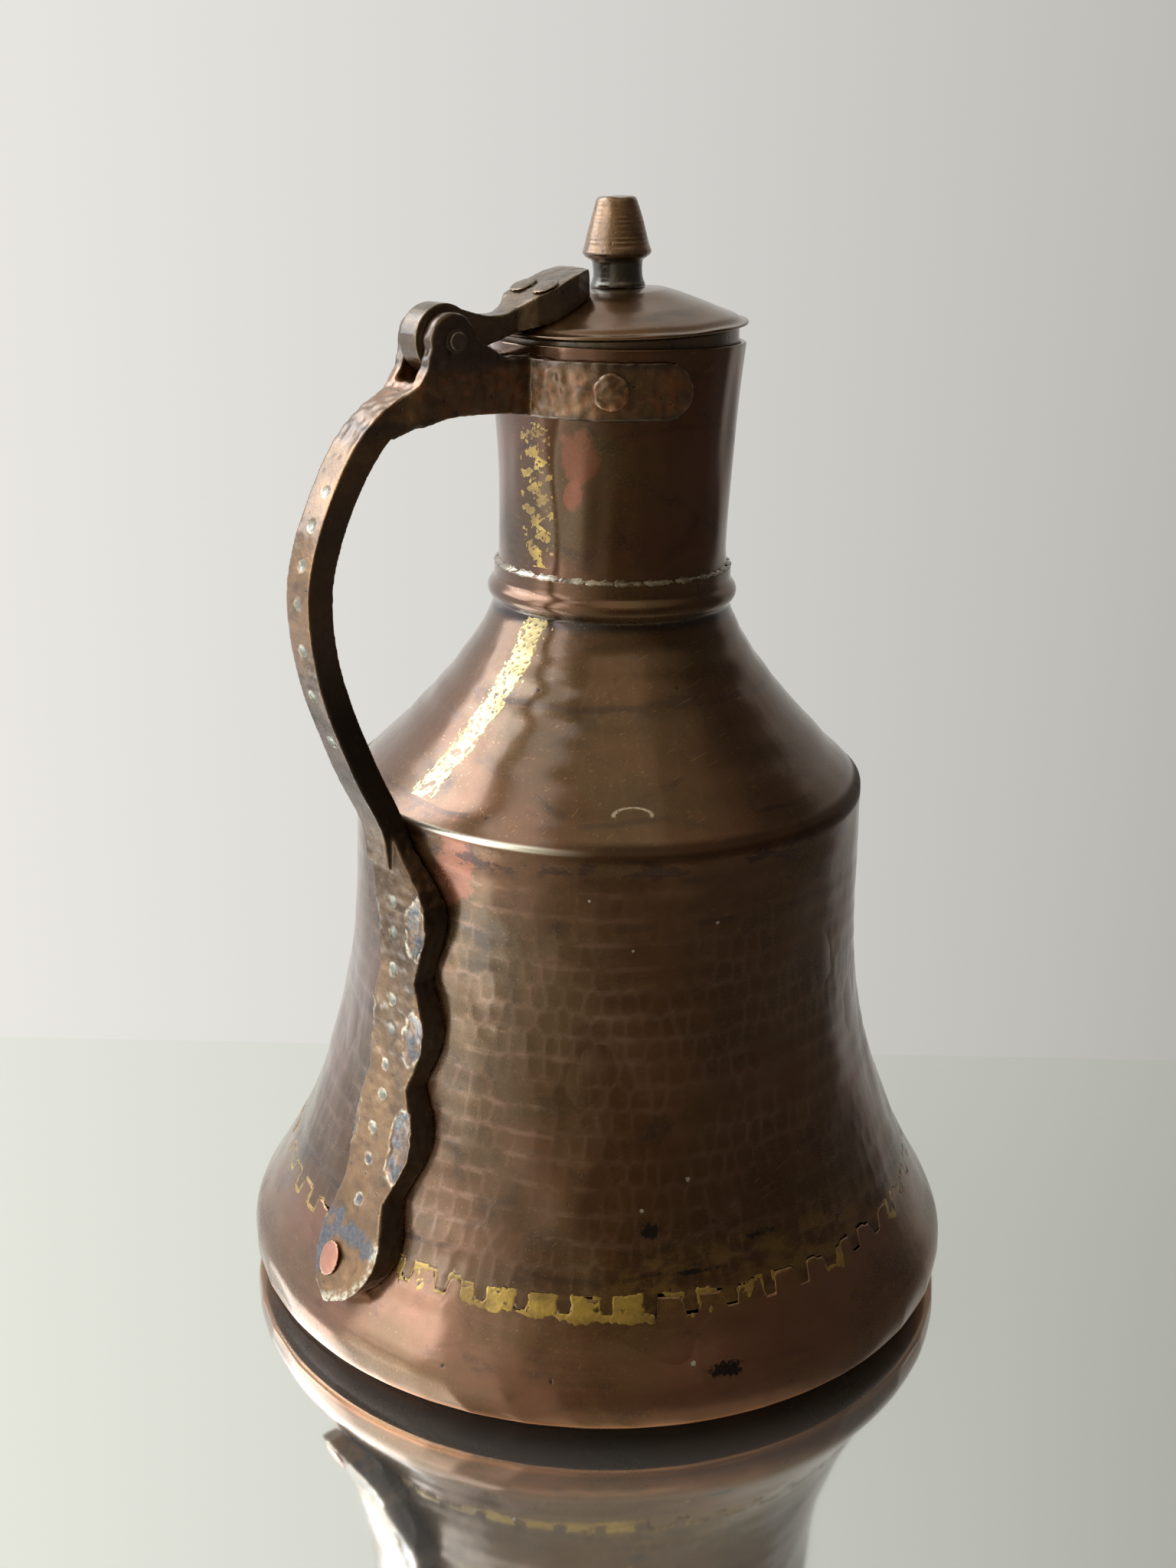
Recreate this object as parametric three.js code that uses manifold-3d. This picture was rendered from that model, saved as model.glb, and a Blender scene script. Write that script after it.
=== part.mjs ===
// A large copper ewer with a flared foot, a hinged conical lid and one cast handle.
// Millimetres, +Z up. The vessel's axis is Z and its underside lies at z = 0.
// The handle stands towards -X in the plane y = 0, and the lid's hinge pin lies along Y.

import * as THREE from "three";
import { mergeVertices } from "three/addons/utils/BufferGeometryUtils.js";
import Module from "manifold-3d";

const wasm = await Module();
wasm.setup();

// Sheet metal and clearances
const panSheet = 1.8;
const shellSheet = 1.5;
const neckSheet = 1.3;
const lidSheet = 1.3;
const seatGap = 0.3; // between pieces that are soldered, riveted or seated together
const rivetFit = 0.2; // round a rivet's shank
const pinFit = 0.08; // round the hinge pin
const slotFit = 0.3; // on each side of the lid strap's knuckle

// The pan: a flat bottom with a rounded corner and the lower part of the bell
const heelRadius = 148.3;
const heelHeight = 12;
const toeIn = 0.6; // how far the bottom edge draws in below the heel
const cornerRadius = 1.6;

// The bell-shaped wall
const waistRadius = 101.4;
const bellHeight = 172;
const bellPower = 2.5;
const ridgeHeight = 206;

// The dovetailed seam that joins the pan to the shell
const seamHeight = 41;
const toothHeight = 7;
const toothCount = 52;
const toothWidth = 6.2;

// The shoulder cone, its bead and the collar that takes the neck
const coneHeight = 70;
const conePower = 1.35;
const beadHeight = 8.5;
const beadBulge = 2.6;
const collarHeight = 6;

// The neck
const neckWaist = 44.1;
const rimRadius = 47.7;
const rimHeight = 374;
const neckFlare = 76; // height of the part that widens to the rim
const neckTuck = 18; // length that is hidden below the collar's edge

// The fork, its ears and the hinge
const hingeReach = 81.5; // from the vessel's axis
const hingeRise = 3; // above the rim
const earRadius = 9.2;
const forkWidth = 22;
const slotWidth = 11;
const slotFloor = 13.7; // below the hinge axis
const forkNose = 104; // where the fork has narrowed to the grip, from the vessel's axis
const forkFront = 12; // from the neck's rim out to the ears
const forkShoulder = 10; // straight part of the fork behind the hinge axis
const pinRadius = 2.6;
const pinHeadRadius = 3.2;
const pinHeadHeight = 0.8;
const washerRadius = 4.2;
const washerThickness = 0.9;

// The two arms that clasp the neck
const armDrop = 4; // from the rim down to the arms' top edge
const armHeight = 20.7;
const armReach = 85; // degrees round the neck from the handle's plane
const armThickness = 4.2; // beside the fork
const armTipThickness = 1.7;
const armRivetAngle = 48; // degrees from the handle's plane

// The grip
const gripReach = 135; // its centre line's furthest point from the vessel's axis
const gripThickness = 10;
const gripWidth = 15;

// The scalloped strap down the wall, lobe by lobe from its foot. It bulges to the near side of the grip
const strapFoot = 23.5;
const strapThickness = 7;
const strapShift = 11; // from the grip's middle to the strap's middle, at the top lobe
const strapLean = 4.5; // how much further its foot lies to the near side
// Its lobes from the foot up: half the width at the lobe and at the notch above it, on the far and near sides
const strapLobes = [
  { height: 40, far: { lobe: 17, notch: 14.5 }, near: { lobe: 19, notch: 12.4 } },
  { height: 43, far: { lobe: 18, notch: 15 }, near: { lobe: 18.8, notch: 10.4 } },
  { height: 41.5, far: { lobe: 17.2, notch: 13.6 }, near: { lobe: 16.6, notch: 9.6 } },
  { height: 55, far: { lobe: 16, notch: gripWidth / 2 }, near: { lobe: 16.6, notch: gripWidth / 2 } },
];

// Rivets
const armRivet = { shank: 3.4, head: 6.7, rise: 2.2, tail: 5.4 };
const footRivet = { shank: 3.4, head: 5.8, rise: 0.8, tail: 5.8 };
const footRivetHeight = 33;
const footRivetShift = 10; // from the grip's middle to the near side
const strapRivet = { shank: 2.5, head: 5.2, rise: 0.8, tail: 4 };
const tailRise = 1.2;

// The lid
const lidRestAngle = 3; // degrees open as it stands
const flangeRadius = 48.8;
const flangeWidth = 4.2;
const flangeStep = 2;
const coneRise = 8.6; // from the flange to the brow
const browRadius = 21.7;
const crownRise = 2.1;
const lidCollarHeight = 8;
const lidCollarGap = 0.7; // from the collar to the inside of the neck

// The lid strap
const paddleHalfWidth = 12;
const paddleThickness = 10.5; // at its rivets
const paddleTip = 16.5; // from the vessel's axis
const paddleFlat = 6; // on each side of the rivets
const strapRivetReach = 38.5;
const strapRivetSpacing = 13;
const knuckleRadius = 12.2;

// The knob
const knobStemRadius = 9.2;
const knobFootRadius = 10.2;
const knobStemHeight = 9.3;
const knobRadius = 12.8;
const knobTopRadius = 6.9;
const knobHeight = 31.5;
const knobTang = 3.2;
const knobWasher = { radius: 9, thickness: 1.2 };

// How finely round forms are divided
const wideRound = 52;
const middleRound = 40;
const smallRound = 20;

const degrees = Math.PI / 180;
const hinge = new THREE.Vector3(-hingeReach, 0, rimHeight + hingeRise);
const armTop = rimHeight - armDrop;
const armFoot = armTop - armHeight;
const coneTop = ridgeHeight + coneHeight;
const collarTop = coneTop + beadHeight + collarHeight;
const collarRadius = neckWaist + seatGap + shellSheet;
const lidSlope = coneRise / (flangeRadius - flangeWidth - browRadius);
const strapTop = strapLobes.reduce((height, lobe) => height + lobe.height, strapFoot);
const teethLow = seamHeight - toothHeight / 2;
const teethHigh = seamHeight + toothHeight / 2;

const at = (x, y) => new THREE.Vector2(x, y);

// Geometry with merged corners, as a solid for cutting and joining
function solidOf(geometry) {
  const bare = geometry.clone();
  bare.deleteAttribute("normal");
  bare.deleteAttribute("uv");
  const merged = mergeVertices(bare, 1e-3);
  return new wasm.Manifold(
    new wasm.Mesh({
      numProp: 3,
      vertProperties: new Float32Array(merged.attributes.position.array),
      triVerts: new Uint32Array(merged.index.array),
    }),
  );
}

function geometryOf(solid) {
  const mesh = solid.getMesh();
  const geometry = new THREE.BufferGeometry();
  geometry.setAttribute("position", new THREE.BufferAttribute(mesh.vertProperties, 3));
  geometry.setIndex(new THREE.BufferAttribute(mesh.triVerts, 1));
  geometry.computeVertexNormals();
  return geometry;
}

// Cuts every given geometry out of the first one
function cut(geometry, ...tools) {
  return geometryOf(tools.reduce((left, tool) => left.subtract(solidOf(tool)), solidOf(geometry)));
}

function join(...geometries) {
  return geometryOf(geometries.map(solidOf).reduce((sum, next) => sum.add(next)));
}

function common(first, second) {
  return geometryOf(solidOf(first).intersect(solidOf(second)));
}

// A form turned about Z from a profile of radius and height, its outside listed upwards
function turned(profile, segments) {
  return new THREE.LatheGeometry(profile, segments).rotateX(Math.PI / 2);
}

// A flat shape in X and Y made thick along Z, from z = low
function prism(shape, thickness, low = 0) {
  const options = { depth: thickness, bevelEnabled: false, curveSegments: 12 };
  return new THREE.ExtrudeGeometry(shape, options).translate(0, 0, low);
}

// A side view in X and Z made thick along Y, evenly on both sides of y = 0
function fromSide(shape, width) {
  return prism(shape, width, -width / 2).rotateX(Math.PI / 2);
}

// A front view in Y and Z made thick along X, from x = low
function fromFront(shape, thickness, low) {
  const turn = new THREE.Matrix4().makeBasis(
    new THREE.Vector3(0, 1, 0),
    new THREE.Vector3(0, 0, 1),
    new THREE.Vector3(1, 0, 0),
  );
  return prism(shape, thickness, low).applyMatrix4(turn);
}

function samples(count, pointAt) {
  return Array.from({ length: count + 1 }, (_, i) => pointAt(i / count));
}

// The outline moved sideways by a distance, to the right of its direction when that is positive
function beside(outline, distance) {
  return outline.map((point, i) => {
    const from = outline[Math.max(i - 1, 0)];
    const to = outline[Math.min(i + 1, outline.length - 1)];
    const along = to.clone().sub(from).normalize();
    return at(point.x + along.y * distance, point.y - along.x * distance);
  });
}

function boreProfile(radius, low, high) {
  return [at(0, low), at(radius, low), at(radius, high), at(0, high)];
}

// A closed profile round a rectangle of radii and heights
function ringProfile(inner, outer, low, high) {
  return [at(inner, low), at(outer, low), at(outer, high), at(inner, high), at(inner, low)];
}

// A closed profile for sheet metal: the outside upwards, then the inside down again
function sheetProfile(outside, thickness) {
  const inside = beside(outside, -thickness).reverse();
  return [...outside, ...inside, outside[0].clone()];
}

// The wall's outer radius at a height below the ridge
function wallRadius(z) {
  if (z < heelHeight) {
    return heelRadius - toeIn * ((heelHeight - z) / heelHeight) ** 2;
  }
  const climbed = Math.min((z - heelHeight) / bellHeight, 1);
  return waistRadius + (heelRadius - waistRadius) * (1 - climbed) ** bellPower;
}

// The shoulder's outer radius at a height above the ridge
function coneRadius(z) {
  const climbed = (z - ridgeHeight) / coneHeight;
  return collarRadius + (waistRadius - collarRadius) * (1 - climbed) ** conePower;
}

function neckRadius(z) {
  const climbed = Math.max(0, (z - (rimHeight - neckFlare)) / neckFlare);
  return neckWaist + (rimRadius - neckWaist) * climbed ** 2;
}

// The wall is drawn through the same heights wherever it is needed, so that its pieces keep their gaps
const wallHeights = [
  ...samples(3, (k) => heelHeight + (teethLow - heelHeight) * k),
  ...samples(8, (k) => teethHigh + (ridgeHeight - teethHigh) * k),
];

function wallOutline(low, high) {
  const between = wallHeights.filter((z) => z > low && z < high);
  return [low, ...between, high].map((z) => at(wallRadius(z), z));
}

function shoulderOutline() {
  const cone = samples(5, (k) => {
    const z = ridgeHeight + coneHeight * k;
    return at(coneRadius(z), z);
  });
  const bead = samples(4, (k) => {
    const swell = beadBulge * Math.sin(Math.PI * k);
    return at(collarRadius + swell, coneTop + beadHeight * k);
  });
  return [...cone.slice(0, -1), ...bead, at(collarRadius, collarTop)];
}

function neckOutline(low, high, count) {
  return samples(count, (k) => {
    const z = low + (high - low) * k;
    return at(neckRadius(z), z);
  });
}

// The whole outside of the vessel, grown by a gap, as a solid that others are cut by
function vesselEnvelope(gap) {
  const outside = [
    ...wallOutline(0, ridgeHeight),
    ...shoulderOutline().slice(1),
    ...neckOutline(collarTop + 1, rimHeight, 6),
  ];
  const grown = beside(outside, gap);
  return turned([at(0, -gap), at(grown[0].x, -gap), ...grown, at(0, grown[grown.length - 1].y)], wideRound);
}

// Blocks that stand where the shell's teeth are, round the seam
function teethBlocks(width, low, high) {
  const pitch = (2 * Math.PI) / toothCount;
  const depth = 40;
  const radius = wallRadius(seamHeight);
  const blocks = Array.from({ length: toothCount }, (_, i) => {
    const block = new THREE.BoxGeometry(depth, width, high - low);
    return solidOf(block.translate(radius, 0, (low + high) / 2).rotateZ((i + 0.5) * pitch));
  });
  return blocks.reduce((sum, next) => sum.add(next));
}

function basePan() {
  const corner = samples(2, (k) => {
    const turn = (k * Math.PI) / 2;
    const centre = wallRadius(cornerRadius) - cornerRadius;
    return at(centre + cornerRadius * Math.sin(turn), cornerRadius * (1 - Math.cos(turn)));
  });
  const outside = [...corner, ...wallOutline(cornerRadius, teethHigh).slice(1)];
  const inside = beside(outside, -panSheet).reverse();
  const pan = turned([at(0, 0), ...outside, ...inside, at(0, panSheet)], wideRound);
  const slots = teethBlocks(toothWidth + 2 * seatGap, teethLow - seatGap, teethHigh + 1);
  const seamed = geometryOf(solidOf(pan).subtract(slots));
  return cut(seamed, rivetHole(footRivet, footRivetPlace()));
}

function bodyShell() {
  const outside = [...wallOutline(teethLow, ridgeHeight), ...shoulderOutline().slice(1)];
  const whole = turned(sheetProfile(outside, shellSheet), wideRound);
  const radius = wallRadius(seamHeight);
  const reach = 20;
  const beyond = 3;
  const profile = ringProfile(radius - reach, radius + reach, teethLow - beyond, teethHigh + seatGap);
  const teeth = teethBlocks(toothWidth, teethLow, teethHigh + beyond);
  const between = solidOf(turned(profile, wideRound)).subtract(teeth);
  return geometryOf(solidOf(whole).subtract(between));
}

function neckTube() {
  const outside = [
    ...neckOutline(collarTop - neckTuck, rimHeight - neckFlare, 1),
    ...neckOutline(rimHeight - neckFlare, rimHeight, 7).slice(1),
  ];
  const tube = turned(sheetProfile(outside, neckSheet), middleRound);
  return cut(tube, ...armRivetHoles());
}

// The side view of the fork: two ears in profile, the bridge under them and the reach to the neck
function forkSide() {
  const side = new THREE.Shape();
  const neck = neckWaist - 4;
  const nose = forkNose;
  side.moveTo(-neck, armTop);
  side.lineTo(-(rimRadius + forkFront), armTop);
  side.absarc(hinge.x, hinge.z, earRadius, 8 * degrees, 190 * degrees, false);
  side.lineTo(-(hingeReach + 11), hinge.z - 9);
  side.lineTo(-(hingeReach + 15.5), hinge.z - 15.5);
  side.lineTo(-nose, hinge.z - 20.5);
  side.lineTo(-nose, armFoot - 5);
  side.lineTo(-(nose - 8), armFoot - 1);
  side.lineTo(-(hingeReach + 4), armFoot + 1.5);
  side.lineTo(-(hingeReach - 12), armFoot + 2);
  side.lineTo(-neck, armFoot);
  side.closePath();
  return side;
}

function forkPlan() {
  const plan = new THREE.Shape();
  const wide = forkWidth / 2;
  const narrow = gripWidth / 2;
  plan.moveTo(0, -wide);
  plan.lineTo(0, wide);
  const start = hingeReach + forkShoulder;
  const end = forkNose + 1;
  const ease = (end - start) / 2;
  plan.lineTo(-start, wide);
  plan.bezierCurveTo(-(start + ease), wide, -(end - ease), narrow, -end, narrow);
  plan.lineTo(-end, -narrow);
  plan.bezierCurveTo(-(end - ease), -narrow, -(start + ease), -wide, -start, -wide);
  plan.closePath();
  return plan;
}

// The arms: an off-centre ring round the neck, thick beside the fork, with round tips
function armRing() {
  const neck = (neckRadius(armTop) + neckRadius(armFoot)) / 2;
  const offset = (armThickness - armTipThickness) / (1 - Math.cos(armReach * degrees));
  const radius = neck + armThickness - offset;
  const outer = new THREE.Shape();
  outer.absarc(-offset, 0, radius, 0, 2 * Math.PI, false);
  const ring = prism(outer, armHeight, armFoot);
  const tip = armHeight / 2;
  const tipAngle = armReach * degrees - Math.asin(tip / neck);
  const pad = new THREE.Shape();
  pad.moveTo(0, -tip);
  pad.absarc(0, 0, tip, -Math.PI / 2, Math.PI / 2, false);
  pad.lineTo(-2 * neck, tip);
  pad.lineTo(-2 * neck, -tip);
  pad.closePath();
  const along = new THREE.Vector3(Math.sin(tipAngle), Math.cos(tipAngle), 0);
  const down = new THREE.Vector3(0, 0, -1);
  const out = new THREE.Vector3(-Math.cos(tipAngle), Math.sin(tipAngle), 0);
  const farSide = prism(pad, radius + 5).applyMatrix4(new THREE.Matrix4().makeBasis(along, down, out));
  const nearSide = farSide.clone().rotateX(Math.PI);
  const middle = armFoot + tip;
  return common(ring, join(farSide.translate(0, 0, middle), nearSide.translate(0, 0, middle)));
}

// The grip's centre line, from the fork round to the top of the strap
function gripLine() {
  const root = wallRadius(strapTop) + strapThickness / 2;
  const rise = armFoot - strapTop;
  return new THREE.SplineCurve([
    at(-(forkNose - 8), armFoot + 7),
    at(-(forkNose + 4), armFoot - 0.5),
    at(-(gripReach - 16), armFoot - 0.09 * rise),
    at(-(gripReach - 4.6), armFoot - 0.25 * rise),
    at(-gripReach, strapTop + 0.6 * rise),
    at(-(gripReach - 4), strapTop + 0.4 * rise),
    at(-(gripReach - 16), strapTop + 0.18 * rise),
    at(-(root + 2.5), strapTop + 2),
    at(-root, strapTop - 14),
  ]);
}

function grip() {
  const curve = gripLine();
  const line = samples(32, (k) => curve.getPoint(k));
  const inner = beside(line, -gripThickness / 2);
  const outer = beside(line, gripThickness / 2).reverse();
  return fromSide(new THREE.Shape([...inner, ...outer]), gripWidth);
}

// Half the strap's width on one side: each lobe swells between two notches, and the lowest has a round tip
function strapEdge(side) {
  const steps = 9;
  const edge = [at(0, strapFoot)];
  let low = strapFoot;
  let below = 0;
  for (const lobe of strapLobes) {
    const half = lobe[side];
    for (let i = 1; i <= steps; i += 1) {
      const k = i / steps;
      const base = k < 0.5 ? below : half.notch;
      const roundness = base === 0 ? 0.5 : 1.2;
      const width = base + (half.lobe - base) * Math.sin(Math.PI * k) ** roundness;
      edge.push(at(width, low + lobe.height * k));
    }
    below = half.notch;
    low += lobe.height;
  }
  return edge;
}

// The strap's middle at a height: under the grip at its top, to the near side from the top lobe down
function strapMiddle(z) {
  const topLobe = strapLobes[strapLobes.length - 1];
  const eased = THREE.MathUtils.smoothstep(strapTop - z, 0, 0.5 * topLobe.height);
  const down = (strapTop - z) / (strapTop - strapFoot);
  return -eased * (strapShift + strapLean * down);
}

function wallStrap() {
  const low = strapFoot - 6;
  const high = strapTop + 1;
  const wall = samples(18, (k) => {
    const z = low + (high - low) * k;
    return at(wallRadius(z), z);
  });
  const outer = beside(wall, strapThickness).map((p) => at(-p.x, p.y));
  const inner = [at(-waistRadius / 2, high), at(-waistRadius / 2, low)];
  const side = fromSide(new THREE.Shape([...outer, ...inner]), 3 * heelRadius);
  const farEdge = strapEdge("far").map((p) => at(strapMiddle(p.y) + p.x, p.y));
  const nearEdge = strapEdge("near").slice(1).map((p) => at(strapMiddle(p.y) - p.x, p.y));
  const front = new THREE.Shape([...farEdge, ...nearEdge.reverse()]);
  return common(side, fromFront(front, 2 * heelRadius, -2 * heelRadius));
}

// How far a round wall rises beside a flat disc that lies in it
function sag(radius, half) {
  return radius - Math.sqrt(radius ** 2 - half ** 2);
}

// A rivet's place: the point its head rests on, the direction it faces and how far inside its tail is seated
function armRivetPlace(side) {
  const z = (armTop + armFoot) / 2;
  const angle = Math.PI - side * armRivetAngle * degrees;
  const out = new THREE.Vector3(Math.cos(angle), Math.sin(angle), 0);
  const neck = (neckRadius(armTop) + neckRadius(armFoot)) / 2;
  const offset = (armThickness - armTipThickness) / (1 - Math.cos(armReach * degrees));
  const face = neck + armThickness - offset + offset * Math.cos(armRivetAngle * degrees);
  const inside = neckRadius(armFoot) - neckSheet;
  const inner = inside - sag(inside, armRivet.tail) - face;
  return { out, outer: out.clone().multiplyScalar(face).setZ(z), inner };
}

function footRivetPlace() {
  const step = 1;
  const slope = (wallRadius(footRivetHeight + step) - wallRadius(footRivetHeight - step)) / (2 * step);
  const out = new THREE.Vector3(-1, 0, -slope).normalize();
  const wall = new THREE.Vector3(-wallRadius(footRivetHeight), -footRivetShift, footRivetHeight);
  const rise = sag(wallRadius(footRivetHeight), footRivetShift + footRivet.tail);
  return { out, outer: wall.addScaledVector(out, strapThickness), inner: -strapThickness - panSheet - rise };
}

// The paddle's flat face is parallel to the lid's cone under its rivets
function paddleTop(reach) {
  const overRivets = lidTopHeight(strapRivetReach) + paddleThickness * Math.hypot(1, lidSlope);
  return overRivets + (strapRivetReach - reach) * lidSlope;
}

function strapRivetPlace(side) {
  const out = new THREE.Vector3(-lidSlope, 0, 1).normalize();
  const y = (side * strapRivetSpacing) / 2;
  const inside = sag(strapRivetReach, Math.abs(y) + strapRivet.tail);
  const outer = new THREE.Vector3(-strapRivetReach, y, paddleTop(strapRivetReach));
  return { out, outer, inner: -paddleThickness - lidSheet - inside };
}

function placed(geometry, place) {
  const turn = new THREE.Quaternion().setFromUnitVectors(new THREE.Vector3(0, 0, 1), place.out);
  return geometry.applyQuaternion(turn).translate(place.outer.x, place.outer.y, place.outer.z);
}

// A rivet with a low domed head outside and a hammered tail inside
function rivet(kind, place) {
  const seat = place.inner - seatGap;
  const dome = samples(3, (k) => {
    const turn = (k * Math.PI) / 2;
    return at(kind.head * Math.cos(turn), seatGap + kind.rise * (0.35 + 0.65 * Math.sin(turn)));
  });
  const profile = [
    at(0, seat - tailRise),
    at(0.7 * kind.tail, seat - tailRise),
    at(kind.tail, seat - 0.4 * tailRise),
    at(kind.tail, seat),
    at(kind.shank, seat),
    at(kind.shank, seatGap),
    at(kind.head, seatGap),
    ...dome.slice(0, -1),
    at(0, seatGap + kind.rise),
  ];
  return placed(turned(profile, smallRound), place);
}

function rivetHole(kind, place) {
  const beyond = 6;
  const profile = boreProfile(kind.shank + rivetFit, place.inner - beyond, beyond);
  return placed(turned(profile, smallRound), place);
}

function armRivetHoles() {
  return [-1, 1].map((side) => rivetHole(armRivet, armRivetPlace(side)));
}

function strapRivetHoles() {
  return [-1, 1].map((side) => rivetHole(strapRivet, strapRivetPlace(side)));
}

// A form turned about Z is laid along Y, with its middle on the hinge axis
function onHinge(geometry) {
  return geometry.rotateX(Math.PI / 2).translate(hinge.x, 0, hinge.z);
}

function pinHole() {
  return onHinge(turned(boreProfile(pinRadius + pinFit, -forkWidth, forkWidth), smallRound));
}

function handle() {
  const fork = common(fromSide(forkSide(), forkWidth), prism(forkPlan(), rimHeight, armFoot - 20));
  const body = join(fork, armRing(), grip(), wallStrap());
  const slot = new THREE.BoxGeometry(2 * forkNose, slotWidth, 60).translate(0, 0, hinge.z - slotFloor + 30);
  return cut(
    body,
    vesselEnvelope(seatGap),
    slot,
    pinHole(),
    ...armRivetHoles(),
    rivetHole(footRivet, footRivetPlace()),
  );
}

function hingePin() {
  const shank = forkWidth / 2 + 2 * seatGap + washerThickness;
  const end = shank + pinHeadHeight;
  const soft = 0.4;
  const half = [
    at(pinRadius, shank),
    at(pinHeadRadius, shank),
    at(pinHeadRadius, end - soft),
    at(pinHeadRadius - soft, end),
  ];
  const mirror = half.map((p) => at(p.x, -p.y)).reverse();
  return onHinge(turned([at(0, -end), ...mirror, ...half, at(0, end)], smallRound));
}

function hingeWasher(side) {
  const middle = forkWidth / 2 + seatGap + washerThickness / 2;
  const profile = ringProfile(pinRadius + pinFit, washerRadius, -washerThickness / 2, washerThickness / 2);
  return onHinge(turned(profile, smallRound)).translate(0, side * middle, 0);
}

// The lid's outside, from the edge of the flange to the axis, with the lid closed
function lidOutline() {
  const base = rimHeight + seatGap + lidSheet;
  const foot = flangeRadius - flangeWidth;
  const brow = base + flangeStep + coneRise;
  return [
    at(flangeRadius, base),
    at(foot + 1, base + 0.3),
    at(foot, base + flangeStep),
    at(browRadius, brow),
    at(browRadius - 4, brow + crownRise * 0.6),
    at(knobFootRadius, brow + crownRise),
    at(0, brow + crownRise),
  ];
}

// The height of the closed lid's outside at a radius
function lidTopHeight(radius) {
  const outline = lidOutline();
  const i = outline.findIndex((p, n) => n > 0 && p.x <= radius);
  const from = outline[i - 1];
  const to = outline[i];
  return from.y + ((to.y - from.y) * (from.x - radius)) / (from.x - to.x);
}

const lidCrown = lidTopHeight(0);

function lidCover() {
  const profile = sheetProfile(lidOutline(), lidSheet);
  const cover = turned(profile.map((p) => at(Math.max(p.x, 0), p.y)), middleRound);
  const tangHole = turned(boreProfile(knobTang + rivetFit, rimHeight, lidCrown + 1), smallRound);
  return cut(cover, tangHole, ...strapRivetHoles());
}

function lidCollar() {
  const low = rimHeight - lidCollarHeight;
  const radius = neckRadius(low) - neckSheet - lidCollarGap;
  return turned(ringProfile(radius - lidSheet, radius, low, rimHeight), middleRound);
}

// The lid strap seen from the side: knuckle, neck and paddle
function strapSide() {
  const side = new THREE.Shape();
  side.moveTo(-(hingeReach - 16), hinge.z - 1);
  side.absarc(hinge.x, hinge.z, knuckleRadius, -28 * degrees, 52 * degrees, true);
  side.splineThru([
    at(-(hingeReach - 14), hinge.z + 7.6),
    at(-(flangeRadius + 12), hinge.z + 6.4),
    at(-(flangeRadius + 5), hinge.z + 6.8),
    at(-(strapRivetReach + paddleFlat), paddleTop(strapRivetReach + paddleFlat)),
  ]);
  side.lineTo(-(strapRivetReach - paddleFlat), paddleTop(strapRivetReach - paddleFlat));
  side.splineThru([
    at(-(paddleTip + 7), paddleTop(paddleTip + 7) - 0.8),
    at(-(paddleTip + 2), paddleTop(paddleTip + 2) - 2.2),
  ]);
  side.lineTo(-paddleTip, paddleTop(paddleTip) - 5);
  side.lineTo(-paddleTip, rimHeight);
  side.lineTo(-strapRivetReach, rimHeight);
  side.lineTo(-(strapRivetReach + 3), hinge.z + 2.2);
  side.closePath();
  return side;
}

function strapPlan() {
  const half = slotWidth / 2 - slotFit;
  const edge = [
    at(-(hingeReach + knuckleRadius + 1), half),
    at(-(hingeReach - 22), half),
    at(-(flangeRadius + 2), half + 0.8),
    at(-(strapRivetReach + 6.5), paddleHalfWidth - 2),
    at(-strapRivetReach + 2, paddleHalfWidth),
    at(-(paddleTip + 10), paddleHalfWidth - 1),
    at(-(paddleTip + 3), paddleHalfWidth - 4),
    at(-paddleTip, 3),
  ];
  const mirror = edge.map((p) => at(p.x, -p.y)).reverse();
  return new THREE.Shape([...edge, ...mirror]);
}

// The closed lid's outside, grown by a gap, down to the underside of its flange
function lidEnvelope(gap) {
  const outside = beside(lidOutline(), gap);
  const top = outside[outside.length - 1];
  top.x = 0;
  const low = rimHeight - 20;
  return turned([at(0, low), at(flangeRadius + gap, low), ...outside], middleRound);
}

function lidStrap() {
  const whole = common(fromSide(strapSide(), 4 * paddleHalfWidth), prism(strapPlan(), 80, rimHeight - 30));
  return cut(whole, lidEnvelope(seatGap), pinHole(), ...strapRivetHoles());
}

// The knob is turned in one piece with its stem, and its tang is hammered over a washer inside the lid
function lidKnob() {
  const foot = lidCrown + seatGap;
  const washerFoot = lidCrown - lidSheet - seatGap - knobWasher.thickness;
  const tail = washerFoot - seatGap;
  const shoulder = foot + knobStemHeight;
  const profile = [
    at(0, tail - 1.6),
    at(knobTang + 0.6, tail - 1.6),
    at(knobTang + 1.8, tail - 0.8),
    at(knobTang + 1.8, tail),
    at(knobTang, tail),
    at(knobTang, foot),
    at(knobFootRadius, foot),
    at(knobFootRadius - 0.5, foot + 1.6),
    at(knobStemRadius, foot + 0.5 * knobStemHeight),
    at(knobStemRadius, shoulder),
    at(knobRadius, shoulder + 2.3),
    at(knobRadius - 0.4, shoulder + 3.6),
    at(knobTopRadius + 0.5, foot + knobHeight - 0.9),
    at(knobTopRadius - 0.6, foot + knobHeight),
    at(0, foot + knobHeight),
  ];
  return turned(profile, middleRound);
}

function washerUnderKnob() {
  const top = lidCrown - lidSheet - seatGap;
  const profile = ringProfile(knobTang + rivetFit, knobWasher.radius, top - knobWasher.thickness, top);
  return turned(profile, smallRound);
}

// Finishes
const rosyCopper = { color: 0x8c6a5c, roughness: 0.38 };
const oliveCopper = { color: 0x7d6440, roughness: 0.36 };
const neckCopper = { color: 0x6f4a34, roughness: 0.34 };
const castBronze = { color: 0x7a5d3e, roughness: 0.48 };
const darkBronze = { color: 0x54463a, roughness: 0.55 };
const brightCopper = { color: 0xb9785c, roughness: 0.42 };
const lidCopper = { color: 0x6c523b, roughness: 0.4 };

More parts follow.
